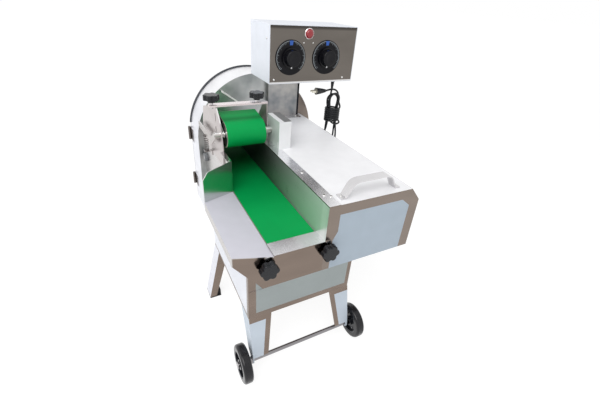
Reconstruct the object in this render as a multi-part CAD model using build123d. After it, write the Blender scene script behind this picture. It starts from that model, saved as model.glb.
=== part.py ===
from build123d import *
import math
import os

os.makedirs("parts", exist_ok=True)

# Vegetable cutting machine: a feed belt and a floating presser belt push the vegetables
# through the mouth of a round knife housing, where a bladed disc slices them.
# Millimetres. While it is modelled, X = 0 is the left inner side of the trough, Y = 0 is the
# front panel and Z = 0 is the floor. Y runs along the feed, towards the knife.

# Sheet metal and clearances
SHEET = 1.5
FRAME_SHEET = 2.5
RUN_CLEAR = 0.05
SEAT_GAP = 0.3
HOLE_CLEAR = 2.0

# Feed trough
TROUGH_W = 120.0
BELT_TOP = 330.0
FEED_L = 585.0
WALL_H = 88.0
WALL_FLANGE = 12.0
TROUGH_DEPTH = 81.0
SHELF_W = 88.0
SHELF_RISE = 25.0
SHELF_LIP = 23.0
SHELF_L_OUTER = 212.0
SHELF_L_INNER = 278.0
GUIDE_H = 90.0
GUIDE_CORNER = 18.0
GUIDE_FOLD = 16.0
PANEL_SLANT = 36.0
COVER_L = 41.5
COVER_LIFT = 1.0

# Feed belt and its rollers
BELT_T = 3.0
BELT_EDGE = 2.0
ROLLER_R = 18.0
ROLLER_Y_FRONT = 24.0
ROLLER_Y_REAR = 560.0
JOURNAL_R = 6.0
BEARING_R = 14.0
BEARING_T = 9.0
FLANGE_W = 68.0
FLANGE_T = 8.0
NOSE_R = 28.0
NOSE_L = 16.0
BED_MARGIN = 5.0

# Belt tension knobs
KNOB_R = 21.0
KNOB_T = 20.0
KNOB_HUB_R = 9.0
KNOB_LOBES = 6
TENSION_OUT_LEFT = 15.5
TENSION_OUT_RIGHT = 7.5
TENSION_SCREW_R = 4.0
BLOCK_W = 9.0
BLOCK_L = 30.0
BLOCK_H = 28.0

# Presser
PRESS_Y = 362.0
PRESS_UP = 128.0
PRESS_R = 32.0
PRESS_BELT_EDGE = 7.0
PRESS_BELT_T = 3.0
IDLER_Y = 415.0
IDLER_UP = 155.0
IDLER_R = 14.0
NIP_Y = 545.0
NIP_UP = 45.0
NIP_R = 15.0
PRESS_SHAFT_R = 5.0
SLEEVE_R = 9.0
ARM_T = 2.0
ARM_GAP = 3.0
ARM_R = 11.0
TIE_R = 4.0
STAND_T = 3.0
STAND_H = 102.0
STAND_FRONT = 22.0
STAND_FOOT_UP = 42.0
STAND_EDGE_UP = 92.0
STAND_TOP_BACK = 26.0
STAND_REAR_Y = 538.0
STAND_RIGHT_BACK = 470.0
STAND_FOOT_W = 12.0
SLOT_R = 2.5
SLOT_L = 18.0
LEVER_GAP = 11.0
LEVER_T = 3.0
LEVER_R = 9.0
LEVER_DROP = 32.0
LEVER_END_Y = 551.0
CROSSBAR_D = 20.0
CROSSBAR_T = 6.0
CROSSBAR_OUT = 20.0
PRESS_KNOB_IN = 8.0
PRESS_KNOB_STEM = 5.0
SPRING_R = 6.0
SPRING_WIRE = 1.5
SPRING_TURNS = 7
SPRING_Y = 478.0
SPRING_DROP = 58.0
BRACKET_W = 16.0
BRACKET_H = 14.0

# Motor housing beside the trough
HOUSING_W = 255.0
HOUSING_H = 91.0
CHAMFER_X = 30.0
CHAMFER_Z = 34.0
STRIP_W = 28.0
STRIP_T = 1.0

# Base cabinet and legs
BASE_OUT_LEFT = 56.0
BASE_W = 262.0
BASE_D = 286.0
BASE_H = 84.0
BED_PLATE_T = 5.0
BALLAST_L = 110.0
BALLAST_H = 55.0
LEG_W_TOP = 54.0
LEG_W_BOTTOM = 38.0
LEG_D_TOP = 52.0
LEG_D_BOTTOM = 32.0
FRONT_LEG_LEAN = 26.0
FRONT_LEG_BOTTOM = 58.0
AXLE_LUG_R = 9.0
REAR_LEG_Y = 245.0
REAR_LEG_SPLAY = 35.0
REAR_W_TOP = 27.0
REAR_W_BOTTOM = 19.0
REAR_LEG_D = 41.0
PAD_T = 4.0
PAD_H = 24.0
PAD_W = 32.0

# Wheels and axle
WHEEL_R = 45.0
WHEEL_T = 22.0
WHEEL_OUT = 10.0
RIM_R = 31.0
HUB_R = 12.0
AXLE_R = 5.0
AXLE_Y = -18.0
AXLE_HEAD_R = 8.5
AXLE_HEAD_T = 4.0

# Knife housing
DRUM_R = 204.0
DRUM_X = 185.0
DRUM_UP = 29.0
DRUM_D = 112.0
DRUM_BOTTOM = 90.0
GASKET_W = 8.0
GASKET_T = 3.0
MOUTH_H = 96.0
LID_T = 1.5
PANEL_INSET = 34.0
PANEL_RISE = 3.0
LID_PULL_IN = 60.0
LID_PULL_HALF = 45.0
LID_PULL_RISE = 28.0
LID_PULL_R = 4.0
HINGE_H = 46.0
HINGE_PIN_R = 2.5
HINGE_KNUCKLE_R = 5.0
HINGE_LEAF = 34.0
HINGE_ZS = (168.0, 345.0)
BUTTON_L = 62.0
BUTTON_R = 7.0
BUTTON_T = 3.0
BUTTON_OUT = 12.0
BUTTON_LIFT = 0.3
BUTTON_LOW = 96.0
BUTTON_PITCH = 100.0
GUARD_X = 51.0
GUARD_LEAN = 10.0
GUARD_H = 90.0
GUARD_H_RIGHT = 53.0
GUARD_LIP = 10.0

# Knife
DISC_R = 186.0
DISC_T = 6.0
DISC_GAP = 9.0
DISC_HUB_R = 34.0
DISC_HUB_L = 26.0
SHAFT_R = 12.0
SHAFT_IN = 60.0
BLADES = 3
BLADE_R0 = 44.0
BLADE_R1 = 180.0
BLADE_W = 36.0
BLADE_T = 3.0
SLOT_W = 22.0
PADDLE_L = 40.0
MOTOR_R = 57.0
MOTOR_Y = 30.0
MOTOR_L = 230.0
MOTOR_END_L = 16.0
MOTOR_FINS = 12
MOTOR_FIN_T = 3.0
MOTOR_FIN_H = 4.0
MOTOR_FOOT_W = 80.0

# Column and control box
COLUMN_LEFT = 216.0
COLUMN_W = 113.0
COLUMN_D = 18.0
COLUMN_H = 240.0
COLUMN_FOOT = 24.0
BOX_LEFT = 157.0
BOX_W = 275.0
BOX_H = 150.0
BOX_D = 145.0
BOX_UP = 145.0
BOX_SHEET = 1.5
DIAL_R = 46.0
DIAL_T = 2.0
DIAL_KNOB_R = 27.0
DIAL_KNOB_H = 22.0
DIAL_IN = 63.0
DIAL_PITCH = 114.0
DIAL_UP = 69.0
DIAL_SHAFT_R = 3.0
DIAL_SHAFT_IN = 12.0
DISH_R = 40.0
DISH_T = 2.0
REGULATOR_R = 22.0
REGULATOR_L = 30.0
LAMP_R = 11.0
LAMP_IN = 116.0
LAMP_DOWN = 20.0

# Chain cover and handle
CHAIN_OUT = 20.0
CHAIN_W = 36.0
CHAIN_Y = 304.0
CHAIN_D = 83.0
CHAIN_H = 76.0
CHAIN_WALL = 2.0
SPROCKET_R = 15.0
SPROCKET_T = 5.0
SPROCKET_HUB_R = 9.0
SPROCKET_TEETH = 12
TOOTH_H = 3.0
CHAIN_BAND = 5.0
GEARBOX_W = 50.0
GEARBOX_EDGE = 26.0
GEARBOX_GAP = 8.0
GEAR_MOTOR_R = 33.0
GEAR_MOTOR_L = 110.0
HANDLE_X = 158.0
HANDLE_L = 160.0
HANDLE_Y = 15.0
HANDLE_W = 23.0
HANDLE_RISE = 38.0
HANDLE_T = 3.0
HANDLE_FOOT = 10.0
HANDLE_SLOPE = 20.0
HANDLE_BEND = 26.0

# Cord: gland, short lead, hank of the rest of its length, and the plug on its other end
CORD_R = 3.0
GLAND_IN = 28.0
GLAND_FORWARD = 87.0
GLAND_R = 9.0
GLAND_H = 14.0
CORD_DROP = 12.0
HANK_W = 44.0
HANK_D = 30.0
HANK_L = 222.0
HANK_ROUND = 12.0
PLUG_L = 36.0
PLUG_R = 11.0
PLUG_LEAD = 13.0
PLUG_DOWN = 16.0
PRONG_L = 16.0

# Places that follow from the sizes above
PLATE_Y = FEED_L
GASKET_Y = PLATE_Y + DRUM_D
LID_Y = GASKET_Y + GASKET_T
ROLLER_Z = BELT_TOP - BELT_T - ROLLER_R
TROUGH_BOTTOM = BELT_TOP - TROUGH_DEPTH
WALL_TOP = BELT_TOP + WALL_H
HOUSING_TOP = BELT_TOP + HOUSING_H
HOUSING_R = TROUGH_W + HOUSING_W
STRIP_TOP = HOUSING_TOP + STRIP_T
BASE_L = -BASE_OUT_LEFT
BASE_R = BASE_L + BASE_W
BASE_BOTTOM = TROUGH_BOTTOM - BASE_H
PRESS_Z = BELT_TOP + PRESS_UP
IDLER_Z = BELT_TOP + IDLER_UP
NIP_Z = BELT_TOP + NIP_UP
STAND_TOP = HOUSING_TOP + STAND_H
STAND_LEFT_X = -SHEET - STAND_T
STAND_RIGHT_X = TROUGH_W + CHAIN_OUT - STAND_T
CROSSBAR_Y = CHAIN_Y + CHAIN_D + SEAT_GAP
LEVER_X = STAND_LEFT_X - LEVER_GAP
LEVER_Z = PRESS_Z - LEVER_DROP
TENSION_XS = (-TENSION_OUT_LEFT, TROUGH_W + TENSION_OUT_RIGHT)
PRESS_KNOB_XS = (-CROSSBAR_OUT + PRESS_KNOB_IN, TROUGH_W - PRESS_KNOB_IN)
WHEEL_XS = (BASE_L - WHEEL_OUT - WHEEL_T / 2, BASE_R + WHEEL_OUT + WHEEL_T / 2)
AXLE_Z = WHEEL_R
DRUM_Z = BELT_TOP + DRUM_UP
DRUM_LEFT = DRUM_X - DRUM_R
DRUM_RIGHT = DRUM_X + DRUM_R
DISC_Y = PLATE_Y + SHEET + DISC_GAP
BOX_BACK = PLATE_Y - COLUMN_D
BOX_FRONT = BOX_BACK - BOX_D
BOX_BOTTOM = HOUSING_TOP + BOX_UP
BOX_TOP = BOX_BOTTOM + BOX_H
BOX_RIGHT = BOX_LEFT + BOX_W
DIAL_XS = (BOX_LEFT + DIAL_IN, BOX_LEFT + DIAL_IN + DIAL_PITCH)
DIAL_Z = BOX_BOTTOM + DIAL_UP
LAMP_X = BOX_LEFT + LAMP_IN
LAMP_Z = BOX_TOP - LAMP_DOWN
CHAIN_X = TROUGH_W + CHAIN_OUT
SPROCKET_X = CHAIN_X + 5 * CHAIN_WALL
SPROCKET_END = SPROCKET_X + SPROCKET_T
LOWER_Y = PRESS_Y
LOWER_Z = ROLLER_Z
BELT_DRIVE_Y = PRESS_Y + 3 * SPROCKET_R
GEARBOX_X = SPROCKET_END + GEARBOX_GAP
BRACKET_Z = LEVER_Z - SPRING_DROP
HINGE_X = DRUM_LEFT - HINGE_KNUCKLE_R - SEAT_GAP
HINGE_Y = LID_Y + LID_T / 2
GLAND_X = BOX_RIGHT - GLAND_IN
GLAND_Y = BOX_BACK - GLAND_FORWARD
GLAND_Z = BOX_BOTTOM - GLAND_H
HANK_TOP = GLAND_Z - CORD_DROP
HANK_X = GLAND_X + HANK_W / 4
PLUG_X = HANK_X - HANK_W / 2 - PLUG_LEAD
PLUG_Z = HANK_TOP - PLUG_DOWN
BUTTON_X = DRUM_RIGHT + BUTTON_OUT
BUTTON_ZS = (DRUM_Z - BUTTON_LOW, DRUM_Z - BUTTON_LOW + BUTTON_PITCH)
FEED_ROLLERS = [(ROLLER_Y_FRONT, ROLLER_Z, ROLLER_R), (ROLLER_Y_REAR, ROLLER_Z, ROLLER_R)]
PRESS_ROLLERS = [(PRESS_Y, PRESS_Z, PRESS_R), (NIP_Y, NIP_Z, NIP_R), (IDLER_Y, IDLER_Z, IDLER_R)]
ARM_PINS = [(y, z, ARM_R) for y, z, _ in PRESS_ROLLERS]

# Shift of the whole model, which puts the origin on the floor under its middle
LEFT_END = WHEEL_XS[0] - WHEEL_T / 2 - SEAT_GAP - AXLE_HEAD_T
FRONT_END = AXLE_Y - WHEEL_R
LID_FACE_Y = LID_Y + LID_T + PANEL_RISE
REAR_END = LID_FACE_Y + LID_PULL_RISE + LID_PULL_R
ORIGIN = Location((-(LEFT_END + BOX_RIGHT) / 2, -(FRONT_END + REAR_END) / 2, 0))


def box(x0, x1, y0, y1, z0, z1):
    """Block between two corners."""
    return Pos((x0 + x1) / 2, (y0 + y1) / 2, (z0 + z1) / 2) * Box(x1 - x0, y1 - y0, z1 - z0)


def rod_x(x0, x1, y, z, radius):
    """Round bar along X."""
    return Pos((x0 + x1) / 2, y, z) * Rot(0, 90, 0) * Cylinder(radius, x1 - x0)


def rod_y(x, y0, y1, z, radius):
    """Round bar along Y."""
    return Pos(x, (y0 + y1) / 2, z) * Rot(90, 0, 0) * Cylinder(radius, y1 - y0)


def rod_z(x, y, z0, z1, radius):
    """Round bar along Z."""
    return Pos(x, y, (z0 + z1) / 2) * Cylinder(radius, z1 - z0)


def plate_yz(points, x0, x1):
    """Sheet with an outline in Y and Z, from x0 to x1."""
    face = make_face(Polyline(*[(x0, y, z) for y, z in points], close=True))
    return Solid.extrude(face.faces()[0], Vector(x1 - x0, 0, 0))


def plate_xz(points, y0, y1):
    """Sheet with an outline in X and Z, from y0 to y1."""
    face = make_face(Polyline(*[(x, y0, z) for x, z in points], close=True))
    return Solid.extrude(face.faces()[0], Vector(0, y1 - y0, 0))


def plate_xy(points, z0, z1):
    """Sheet with an outline in X and Y, from z0 to z1."""
    face = make_face(Polyline(*[(x, y, z0) for x, y in points], close=True))
    return Solid.extrude(face.faces()[0], Vector(0, 0, z1 - z0))


def lobed_knob(radius, thickness, hub_radius):
    """Lobed hand knob along +Z from its hub face at Z = 0, with rounded lobes."""
    lobe_r = radius * 0.34
    outline = Circle(radius * 0.8)
    for spot in PolarLocations(radius - lobe_r, KNOB_LOBES):
        outline += spot * Circle(lobe_r)
    outline = fillet(outline.vertices(), radius * 0.1)
    grip = extrude(outline, thickness * 0.7)
    grip = fillet(grip.edges().group_by(Axis.Z)[-1], radius * 0.09)
    hub = Cylinder(hub_radius, thickness * 0.3, align=(Align.CENTER, Align.CENTER, Align.MIN))
    return Pos(0, 0, thickness * 0.3) * grip + hub


def tangent_points(rollers, extra):
    """Straight runs of a belt around rollers given as (y, z, radius) in turning order."""
    runs = []
    for i, (y1, z1, r1) in enumerate(rollers):
        y2, z2, r2 = rollers[(i + 1) % len(rollers)]
        length = math.hypot(y2 - y1, z2 - z1)
        along = ((y2 - y1) / length, (z2 - z1) / length)
        lean = (r1 - r2) / length
        side = math.sqrt(1 - lean * lean)
        normal = (along[0] * lean + along[1] * side, along[1] * lean - along[0] * side)
        start = (y1 + normal[0] * (r1 + extra), z1 + normal[1] * (r1 + extra))
        end = (y2 + normal[0] * (r2 + extra), z2 + normal[1] * (r2 + extra))
        runs.append((start, end, normal))
    return runs


def loop_face(x, rollers, extra):
    """Face bounded by a taut line around the rollers, in the plane at x."""
    runs = tangent_points(rollers, extra)
    edges = []
    for i, (start, end, normal) in enumerate(runs):
        edges.append(Edge.make_line((x, *start), (x, *end)))
        y, z, r = rollers[(i + 1) % len(rollers)]
        next_start, _, next_normal = runs[(i + 1) % len(runs)]
        angle_in = math.atan2(normal[1], normal[0])
        angle_out = math.atan2(next_normal[1], next_normal[0])
        if angle_out <= angle_in:
            angle_out += 2 * math.pi
        middle = (angle_in + angle_out) / 2
        top = (x, y + (r + extra) * math.cos(middle), z + (r + extra) * math.sin(middle))
        edges.append(Edge.make_three_point_arc((x, *end), top, (x, *next_start)))
    return Face(Wire(edges))


def loop_plate(rollers, extra, x0, x1):
    """Plate from x0 to x1 whose outline is the taut line around the rollers."""
    return Solid.extrude(loop_face(x0, rollers, extra), Vector(x1 - x0, 0, 0))


def belt_loop(rollers, thickness, x0, x1):
    """Endless belt round the rollers."""
    return loop_plate(rollers, thickness, x0, x1) - loop_plate(rollers, 0, x0 - 1, x1 + 1)


def angle_section(x, y, z, inward, width, depth, sheet):
    """L-shaped face with its outer corner at (x, y): one flange along X, one along +Y."""
    outline = [(0, 0), (width, 0), (width, sheet), (sheet, sheet), (sheet, depth), (0, depth)]
    points = [(x + inward * a, y + b, z) for a, b in outline]
    return make_face(Polyline(*points, close=True)).faces()[0]


def shelf_z(x):
    """Height of the sloping shelf's upper face at x."""
    return BELT_TOP - x / SHELF_W * SHELF_RISE


# Base, legs and wheels

def base_cabinet():
    """Low cabinet of folded sheet, open below."""
    shell = box(BASE_L, BASE_R, 0, BASE_D, BASE_BOTTOM, TROUGH_BOTTOM)
    shell = fillet(shell.edges().filter_by(Axis.Z), FRAME_SHEET)
    t = FRAME_SHEET
    return shell - box(BASE_L + t, BASE_R - t, t, BASE_D - t, BASE_BOTTOM, TROUGH_BOTTOM - t)


def cabinet_side():
    """Upper left side of the cabinet, folded over under the shelf beside the trough."""
    t = FRAME_SHEET
    x1 = -SHEET - t
    top = ROLLER_Z - BLOCK_H / 2 - 3 * SHEET
    low = TROUGH_BOTTOM
    side = box(BASE_L, BASE_L + t, SHEET, BASE_D, low, top)
    side += box(BASE_L, x1, SHEET, SHEET + t, low, top)
    side += box(BASE_L, x1, BASE_D - t, BASE_D, low, top)
    return side + box(BASE_L, x1, SHEET, BASE_D, top - t, top)


def bed_plate():
    """Floor plate of the cabinet, which carries the legs."""
    t = FRAME_SHEET
    return box(BASE_L + t, BASE_R - t, t, BASE_D - t, BASE_BOTTOM, BASE_BOTTOM + BED_PLATE_T)


def ballast():
    """Steel block at the front of the cabinet, which balances the knife housing behind the legs."""
    t = FRAME_SHEET
    z = BASE_BOTTOM + BED_PLATE_T
    return box(BASE_L + t, BASE_R - t, t, t + BALLAST_L, z, z + BALLAST_H)


def front_leg(x, inward):
    """Tapered folded leg that leans forward to the axle."""
    top = angle_section(x, 0, BASE_BOTTOM, inward, LEG_W_TOP, LEG_D_TOP, FRAME_SHEET)
    foot = angle_section(x, -FRONT_LEG_LEAN, FRONT_LEG_BOTTOM, inward, LEG_W_BOTTOM, LEG_D_BOTTOM,
                         FRAME_SHEET)
    leg = loft([foot, top], ruled=True)
    x_in = x + inward * FRAME_SHEET
    lug_outline = [(-FRONT_LEG_LEAN, FRONT_LEG_BOTTOM), (LEG_D_BOTTOM - FRONT_LEG_LEAN, FRONT_LEG_BOTTOM),
                   (AXLE_Y + AXLE_LUG_R, AXLE_Z), (AXLE_Y - AXLE_LUG_R, AXLE_Z)]
    lug = plate_yz(lug_outline, min(x, x_in), max(x, x_in))
    lug += rod_x(min(x, x_in), max(x, x_in), AXLE_Y, AXLE_Z, AXLE_LUG_R)
    x_far = x + inward * LEG_W_TOP
    flange = box(min(x, x_far), max(x, x_far), 0, LEG_D_TOP, BASE_BOTTOM - FRAME_SHEET, BASE_BOTTOM)
    hole = rod_x(x - 5, x + 5, AXLE_Y, AXLE_Z, AXLE_R + RUN_CLEAR)
    return leg + lug + flange - hole


def rear_leg(x, inward):
    """Tapered folded leg that splays outward to its foot."""
    x_foot = x - inward * REAR_LEG_SPLAY
    top = angle_section(x, REAR_LEG_Y, BASE_BOTTOM, inward, REAR_W_TOP, REAR_LEG_D, FRAME_SHEET)
    foot = angle_section(x_foot, REAR_LEG_Y, PAD_T, inward, REAR_W_BOTTOM, REAR_LEG_D, FRAME_SHEET)
    leg = loft([foot, top], ruled=True)
    x_far = x + inward * REAR_W_TOP
    flange = box(min(x, x_far), max(x, x_far), REAR_LEG_Y, REAR_LEG_Y + REAR_LEG_D,
                 BASE_BOTTOM - FRAME_SHEET, BASE_BOTTOM)
    return leg + flange


def rubber_foot(x, inward):
    """Rubber foot: a tread under the leg and a block in its corner."""
    x_foot = x - inward * REAR_LEG_SPLAY
    lean = REAR_LEG_SPLAY * (PAD_H - PAD_T) / (BASE_BOTTOM - PAD_T)
    x_in = x_foot + inward * (FRAME_SHEET + lean + SEAT_GAP)
    x_far = x_foot + inward * PAD_W
    tread = box(min(x_foot, x_far), max(x_foot, x_far), REAR_LEG_Y, REAR_LEG_Y + REAR_LEG_D, 0, PAD_T)
    y0 = REAR_LEG_Y + FRAME_SHEET
    block = box(min(x_in, x_far), max(x_in, x_far), y0, REAR_LEG_Y + REAR_LEG_D, PAD_T, PAD_H)
    block = chamfer(block.edges().group_by(Axis.Z)[-1], FRAME_SHEET)
    return tread + block


def axle():
    """Axle through both front legs, with a round head outside each wheel."""
    head_gap = WHEEL_T / 2 + SEAT_GAP
    bar = rod_x(WHEEL_XS[0] - head_gap, WHEEL_XS[1] + head_gap, AXLE_Y, AXLE_Z, AXLE_R)
    for x, out in ((WHEEL_XS[0] - head_gap, -1), (WHEEL_XS[1] + head_gap, 1)):
        head = Pos(x, AXLE_Y, AXLE_Z) * Rot(0, 90 * out, 0) * Cylinder(
            AXLE_HEAD_R, AXLE_HEAD_T, align=(Align.CENTER, Align.CENTER, Align.MIN))
        bar += fillet(head.edges().sort_by(Axis.X)[-1 if out > 0 else 0], AXLE_HEAD_T / 2)
    return bar


def axle_collars():
    """Spacer tubes between the legs and the wheels."""
    collars = []
    for x, x_leg in ((WHEEL_XS[0] + WHEEL_T / 2, BASE_L), (WHEEL_XS[1] - WHEEL_T / 2, BASE_R)):
        near = x + math.copysign(SEAT_GAP, x_leg - x)
        tube = rod_x(min(near, x_leg), max(near, x_leg), AXLE_Y, AXLE_Z, AXLE_HEAD_R)
        collars.append(tube - rod_x(near - 30, near + 30, AXLE_Y, AXLE_Z, AXLE_R + RUN_CLEAR))
    return collars


def tyre(x):
    """Solid rubber tyre with round shoulders and a shallow groove."""
    half = WHEEL_T / 2
    ring = rod_x(x - half, x + half, AXLE_Y, AXLE_Z, WHEEL_R)
    ring = fillet(ring.edges(), half * 0.55)
    return ring - rod_x(x - half - 1, x + half + 1, AXLE_Y, AXLE_Z, RIM_R)


def wheel_rim(x):
    """Wheel centre: rim, dished web with bolt holes and hub."""
    half = WHEEL_T / 2
    rim = rod_x(x - half + 1, x + half - 1, AXLE_Y, AXLE_Z, RIM_R)
    for side in (-1, 1):
        face = x + side * (half - 1)
        dish = rod_x(min(face, face - side * 6), max(face, face - side * 6), AXLE_Y, AXLE_Z, RIM_R - 3)
        dish -= rod_x(x - half, x + half, AXLE_Y, AXLE_Z, HUB_R)
        rim -= dish
    rim -= rod_x(x - half, x + half, AXLE_Y, AXLE_Z, AXLE_R + RUN_CLEAR)
    for spot in PolarLocations((RIM_R - 3 + HUB_R) / 2, 4, start_angle=45):
        rim -= Pos(x, AXLE_Y, AXLE_Z) * Rot(0, 90, 0) * spot * Cylinder(2, WHEEL_T)
    return rim


# Feed trough, belt and rollers

def trough_frame():
    """Left side and bottom of the trough, folded from one sheet, with the rear wall's top flange."""
    side = [(SHEET, TROUGH_BOTTOM), (PLATE_Y, TROUGH_BOTTOM), (PLATE_Y, WALL_TOP),
            (SHELF_L_INNER, WALL_TOP), (SHELF_L_INNER, BELT_TOP - SHEET), (SHEET, BELT_TOP - SHEET)]
    frame = plate_yz(side, -SHEET, 0)
    frame += box(-SHEET, TROUGH_W, SHEET, PLATE_Y, TROUGH_BOTTOM, TROUGH_BOTTOM + SHEET)
    frame += box(-WALL_FLANGE, 0, SHELF_L_INNER, PRESS_Y - STAND_FRONT - 2, WALL_TOP, WALL_TOP + SHEET)
    for y in (ROLLER_Y_FRONT, ROLLER_Y_REAR):
        frame -= rod_x(-SHEET - 1, 1, y, ROLLER_Z, JOURNAL_R + HOLE_CLEAR)
    return frame


def front_panel():
    """Front sheet of the trough, cut back under the shelf."""
    edge = -SHELF_W + SHEET
    lip_z = shelf_z(edge) - SHELF_LIP
    toe = -SHELF_W + SHELF_W * 0.55
    outline = [(edge, shelf_z(edge) - SHEET), (edge, lip_z),
               (-SHELF_W + PANEL_SLANT * 0.8, lip_z - PANEL_SLANT),
               (toe, TROUGH_BOTTOM + SHELF_LIP), (toe + SHELF_LIP * 0.7, TROUGH_BOTTOM),
               (TROUGH_W, TROUGH_BOTTOM), (TROUGH_W, BELT_TOP + COVER_LIFT),
               (0, BELT_TOP + COVER_LIFT), (0, BELT_TOP - SHEET)]
    panel = plate_xz(outline, 0, SHEET)
    return panel - rod_y(TENSION_XS[0], -1, SHEET + 1, ROLLER_Z, TENSION_SCREW_R + RUN_CLEAR)


def side_shelf():
    """Sloping feed shelf with a turned-down outer lip, cut along the guide plate."""
    w = -SHELF_W
    top = shelf_z(w)
    profile = [(0, BELT_TOP), (w, top), (w, top - SHELF_LIP), (w + SHEET, top - SHELF_LIP),
               (w + SHEET, shelf_z(w + SHEET) - SHEET), (0, BELT_TOP - SHEET)]
    shelf = plate_xz(profile, 0, SHELF_L_INNER)
    far = SHELF_L_INNER + 1
    cut = plate_xy([(w - 1, SHELF_L_OUTER), (0, SHELF_L_INNER), (1, far), (w - 1, far)], BELT_TOP - SHELF_W,
                   BELT_TOP + SHELF_W)
    return shelf - cut


def guide_plate():
    """Upright plate across the shelf that turns the vegetables onto the belt."""
    start = Vector(-SHEET, SHELF_L_INNER, BELT_TOP)
    end = Vector(-SHELF_W, SHELF_L_OUTER, BELT_TOP)
    plane = Plane(origin=start, x_dir=end - start, z_dir=(end - start).cross(Vector(0, 0, 1)))
    length = (end - start).length
    gap = SEAT_GAP
    outline = Polyline((0, gap), (length, SHELF_RISE + gap), (length, GUIDE_H - GUIDE_CORNER * 0.4),
                       (length - GUIDE_CORNER, GUIDE_H + GUIDE_CORNER * 0.4), (0, GUIDE_H), close=True)
    face = plane * make_face(outline)
    plate = Solid.extrude(face.faces()[0], plane.z_dir * (-SHEET))
    fold = box(-2 * SHEET, -SHEET, SHELF_L_INNER + SHEET, SHELF_L_INNER + GUIDE_FOLD, BELT_TOP + 2, WALL_TOP)
    link = box(-2 * SHEET, -SHEET, SHELF_L_INNER - SHEET, SHELF_L_INNER + 2 * SHEET, BELT_TOP + 2, WALL_TOP)
    front = box(-SHELF_W, 1, 0, SHELF_L_INNER - SHEET, BELT_TOP, BELT_TOP + 2 * GUIDE_H)
    return plate + fold + (link - front)


def roller_cover():
    """Flat cover over the front roller."""
    z = BELT_TOP + COVER_LIFT
    return box(0, TROUGH_W, 0, COVER_L, z, z + SHEET)


def feed_belt():
    """Endless feed belt."""
    return belt_loop(FEED_ROLLERS, BELT_T, BELT_EDGE, TROUGH_W - BELT_EDGE)


def belt_bed():
    """Folded slider under the belt's carrying run."""
    y0 = ROLLER_Y_FRONT + ROLLER_R + BED_MARGIN
    y1 = ROLLER_Y_REAR - ROLLER_R - BED_MARGIN
    top = BELT_TOP - BELT_T - RUN_CLEAR
    bed = box(0, TROUGH_W, y0, y1, top - SHEET, top)
    for x0 in (0, TROUGH_W - SHEET):
        bed += box(x0, x0 + SHEET, y0, y1, top - 2 * ROLLER_R, top)
    bed -= box(BELT_EDGE, TROUGH_W - BELT_EDGE, y0 - 1, y1 + 1, ROLLER_Z - ROLLER_R - BELT_T, top - SHEET)
    return bed


def feed_roller(y, x0, x1):
    """Crowned roller with a journal at each end, from x0 to x1."""
    left = BELT_EDGE + 1
    right = TROUGH_W - BELT_EDGE - 1
    middle = (left + right) / 2
    r = ROLLER_R - RUN_CLEAR
    crown = Wire([
        Edge.make_line((x0, y, ROLLER_Z), (x0, y, ROLLER_Z + JOURNAL_R)),
        Edge.make_line((x0, y, ROLLER_Z + JOURNAL_R), (left, y, ROLLER_Z + JOURNAL_R)),
        Edge.make_line((left, y, ROLLER_Z + JOURNAL_R), (left, y, ROLLER_Z + r - 0.5)),
        Edge.make_three_point_arc((left, y, ROLLER_Z + r - 0.5), (middle, y, ROLLER_Z + r),
                                  (right, y, ROLLER_Z + r - 0.5)),
        Edge.make_line((right, y, ROLLER_Z + r - 0.5), (right, y, ROLLER_Z + JOURNAL_R)),
        Edge.make_line((right, y, ROLLER_Z + JOURNAL_R), (x1, y, ROLLER_Z + JOURNAL_R)),
        Edge.make_line((x1, y, ROLLER_Z + JOURNAL_R), (x1, y, ROLLER_Z)),
        Edge.make_line((x1, y, ROLLER_Z), (x0, y, ROLLER_Z)),
    ])
    return revolve(Face(crown), Axis((0, y, ROLLER_Z), (1, 0, 0)))


def tension_block(x):
    """Sliding bearing block of the front roller, with the hole for its tension screw."""
    block = Pos(x, ROLLER_Y_FRONT, ROLLER_Z) * Box(BLOCK_W, BLOCK_L, BLOCK_H)
    block = chamfer(block.edges().filter_by(Axis.X), FRAME_SHEET)
    return block - rod_x(x - BLOCK_W, x + BLOCK_W, ROLLER_Y_FRONT, ROLLER_Z, JOURNAL_R + RUN_CLEAR)


def tension_guides():
    """Channels on the trough's sides that the bearing blocks slide in."""
    guides = []
    y1 = ROLLER_Y_FRONT + BLOCK_L / 2 + KNOB_T
    for x, wall in ((TENSION_XS[0], -SHEET), (TENSION_XS[1], TROUGH_W + SHEET)):
        x_far = x + math.copysign(BLOCK_W / 2, x - wall)
        for side in (-1, 1):
            z = ROLLER_Z + side * (BLOCK_H / 2 + SEAT_GAP + SHEET / 2)
            guides.append(box(min(x_far, wall), max(x_far, wall), SHEET, y1, z - SHEET / 2, z + SHEET / 2))
    return guides


def tension_knob(x):
    """Lobed knob with its screw, which runs back to the bearing block."""
    face_y = -SEAT_GAP
    knob = Pos(x, face_y, ROLLER_Z) * Rot(90, 0, 0) * lobed_knob(KNOB_R, KNOB_T, KNOB_HUB_R)
    return knob + rod_y(x, face_y - 1, ROLLER_Y_FRONT - BLOCK_L / 2 - RUN_CLEAR, ROLLER_Z, TENSION_SCREW_R)


def rear_bearings():
    """Flanged bearings of the rear roller, outside the trough's two sides."""
    rings = []
    for x0, x1 in ((-SHEET - BEARING_T, -SHEET), (TROUGH_W + SHEET, TROUGH_W + SHEET + BEARING_T)):
        ring = rod_x(x0, x1, ROLLER_Y_REAR, ROLLER_Z, BEARING_R)
        ring = fillet(ring.edges(), 1)
        rings.append(ring - rod_x(x0 - 1, x1 + 1, ROLLER_Y_REAR, ROLLER_Z, JOURNAL_R + RUN_CLEAR))
    return rings


# Presser

def presser_belt():
    """Endless presser belt round its three rollers."""
    return belt_loop(PRESS_ROLLERS, PRESS_BELT_T, PRESS_BELT_EDGE, TROUGH_W - PRESS_BELT_EDGE)


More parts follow.
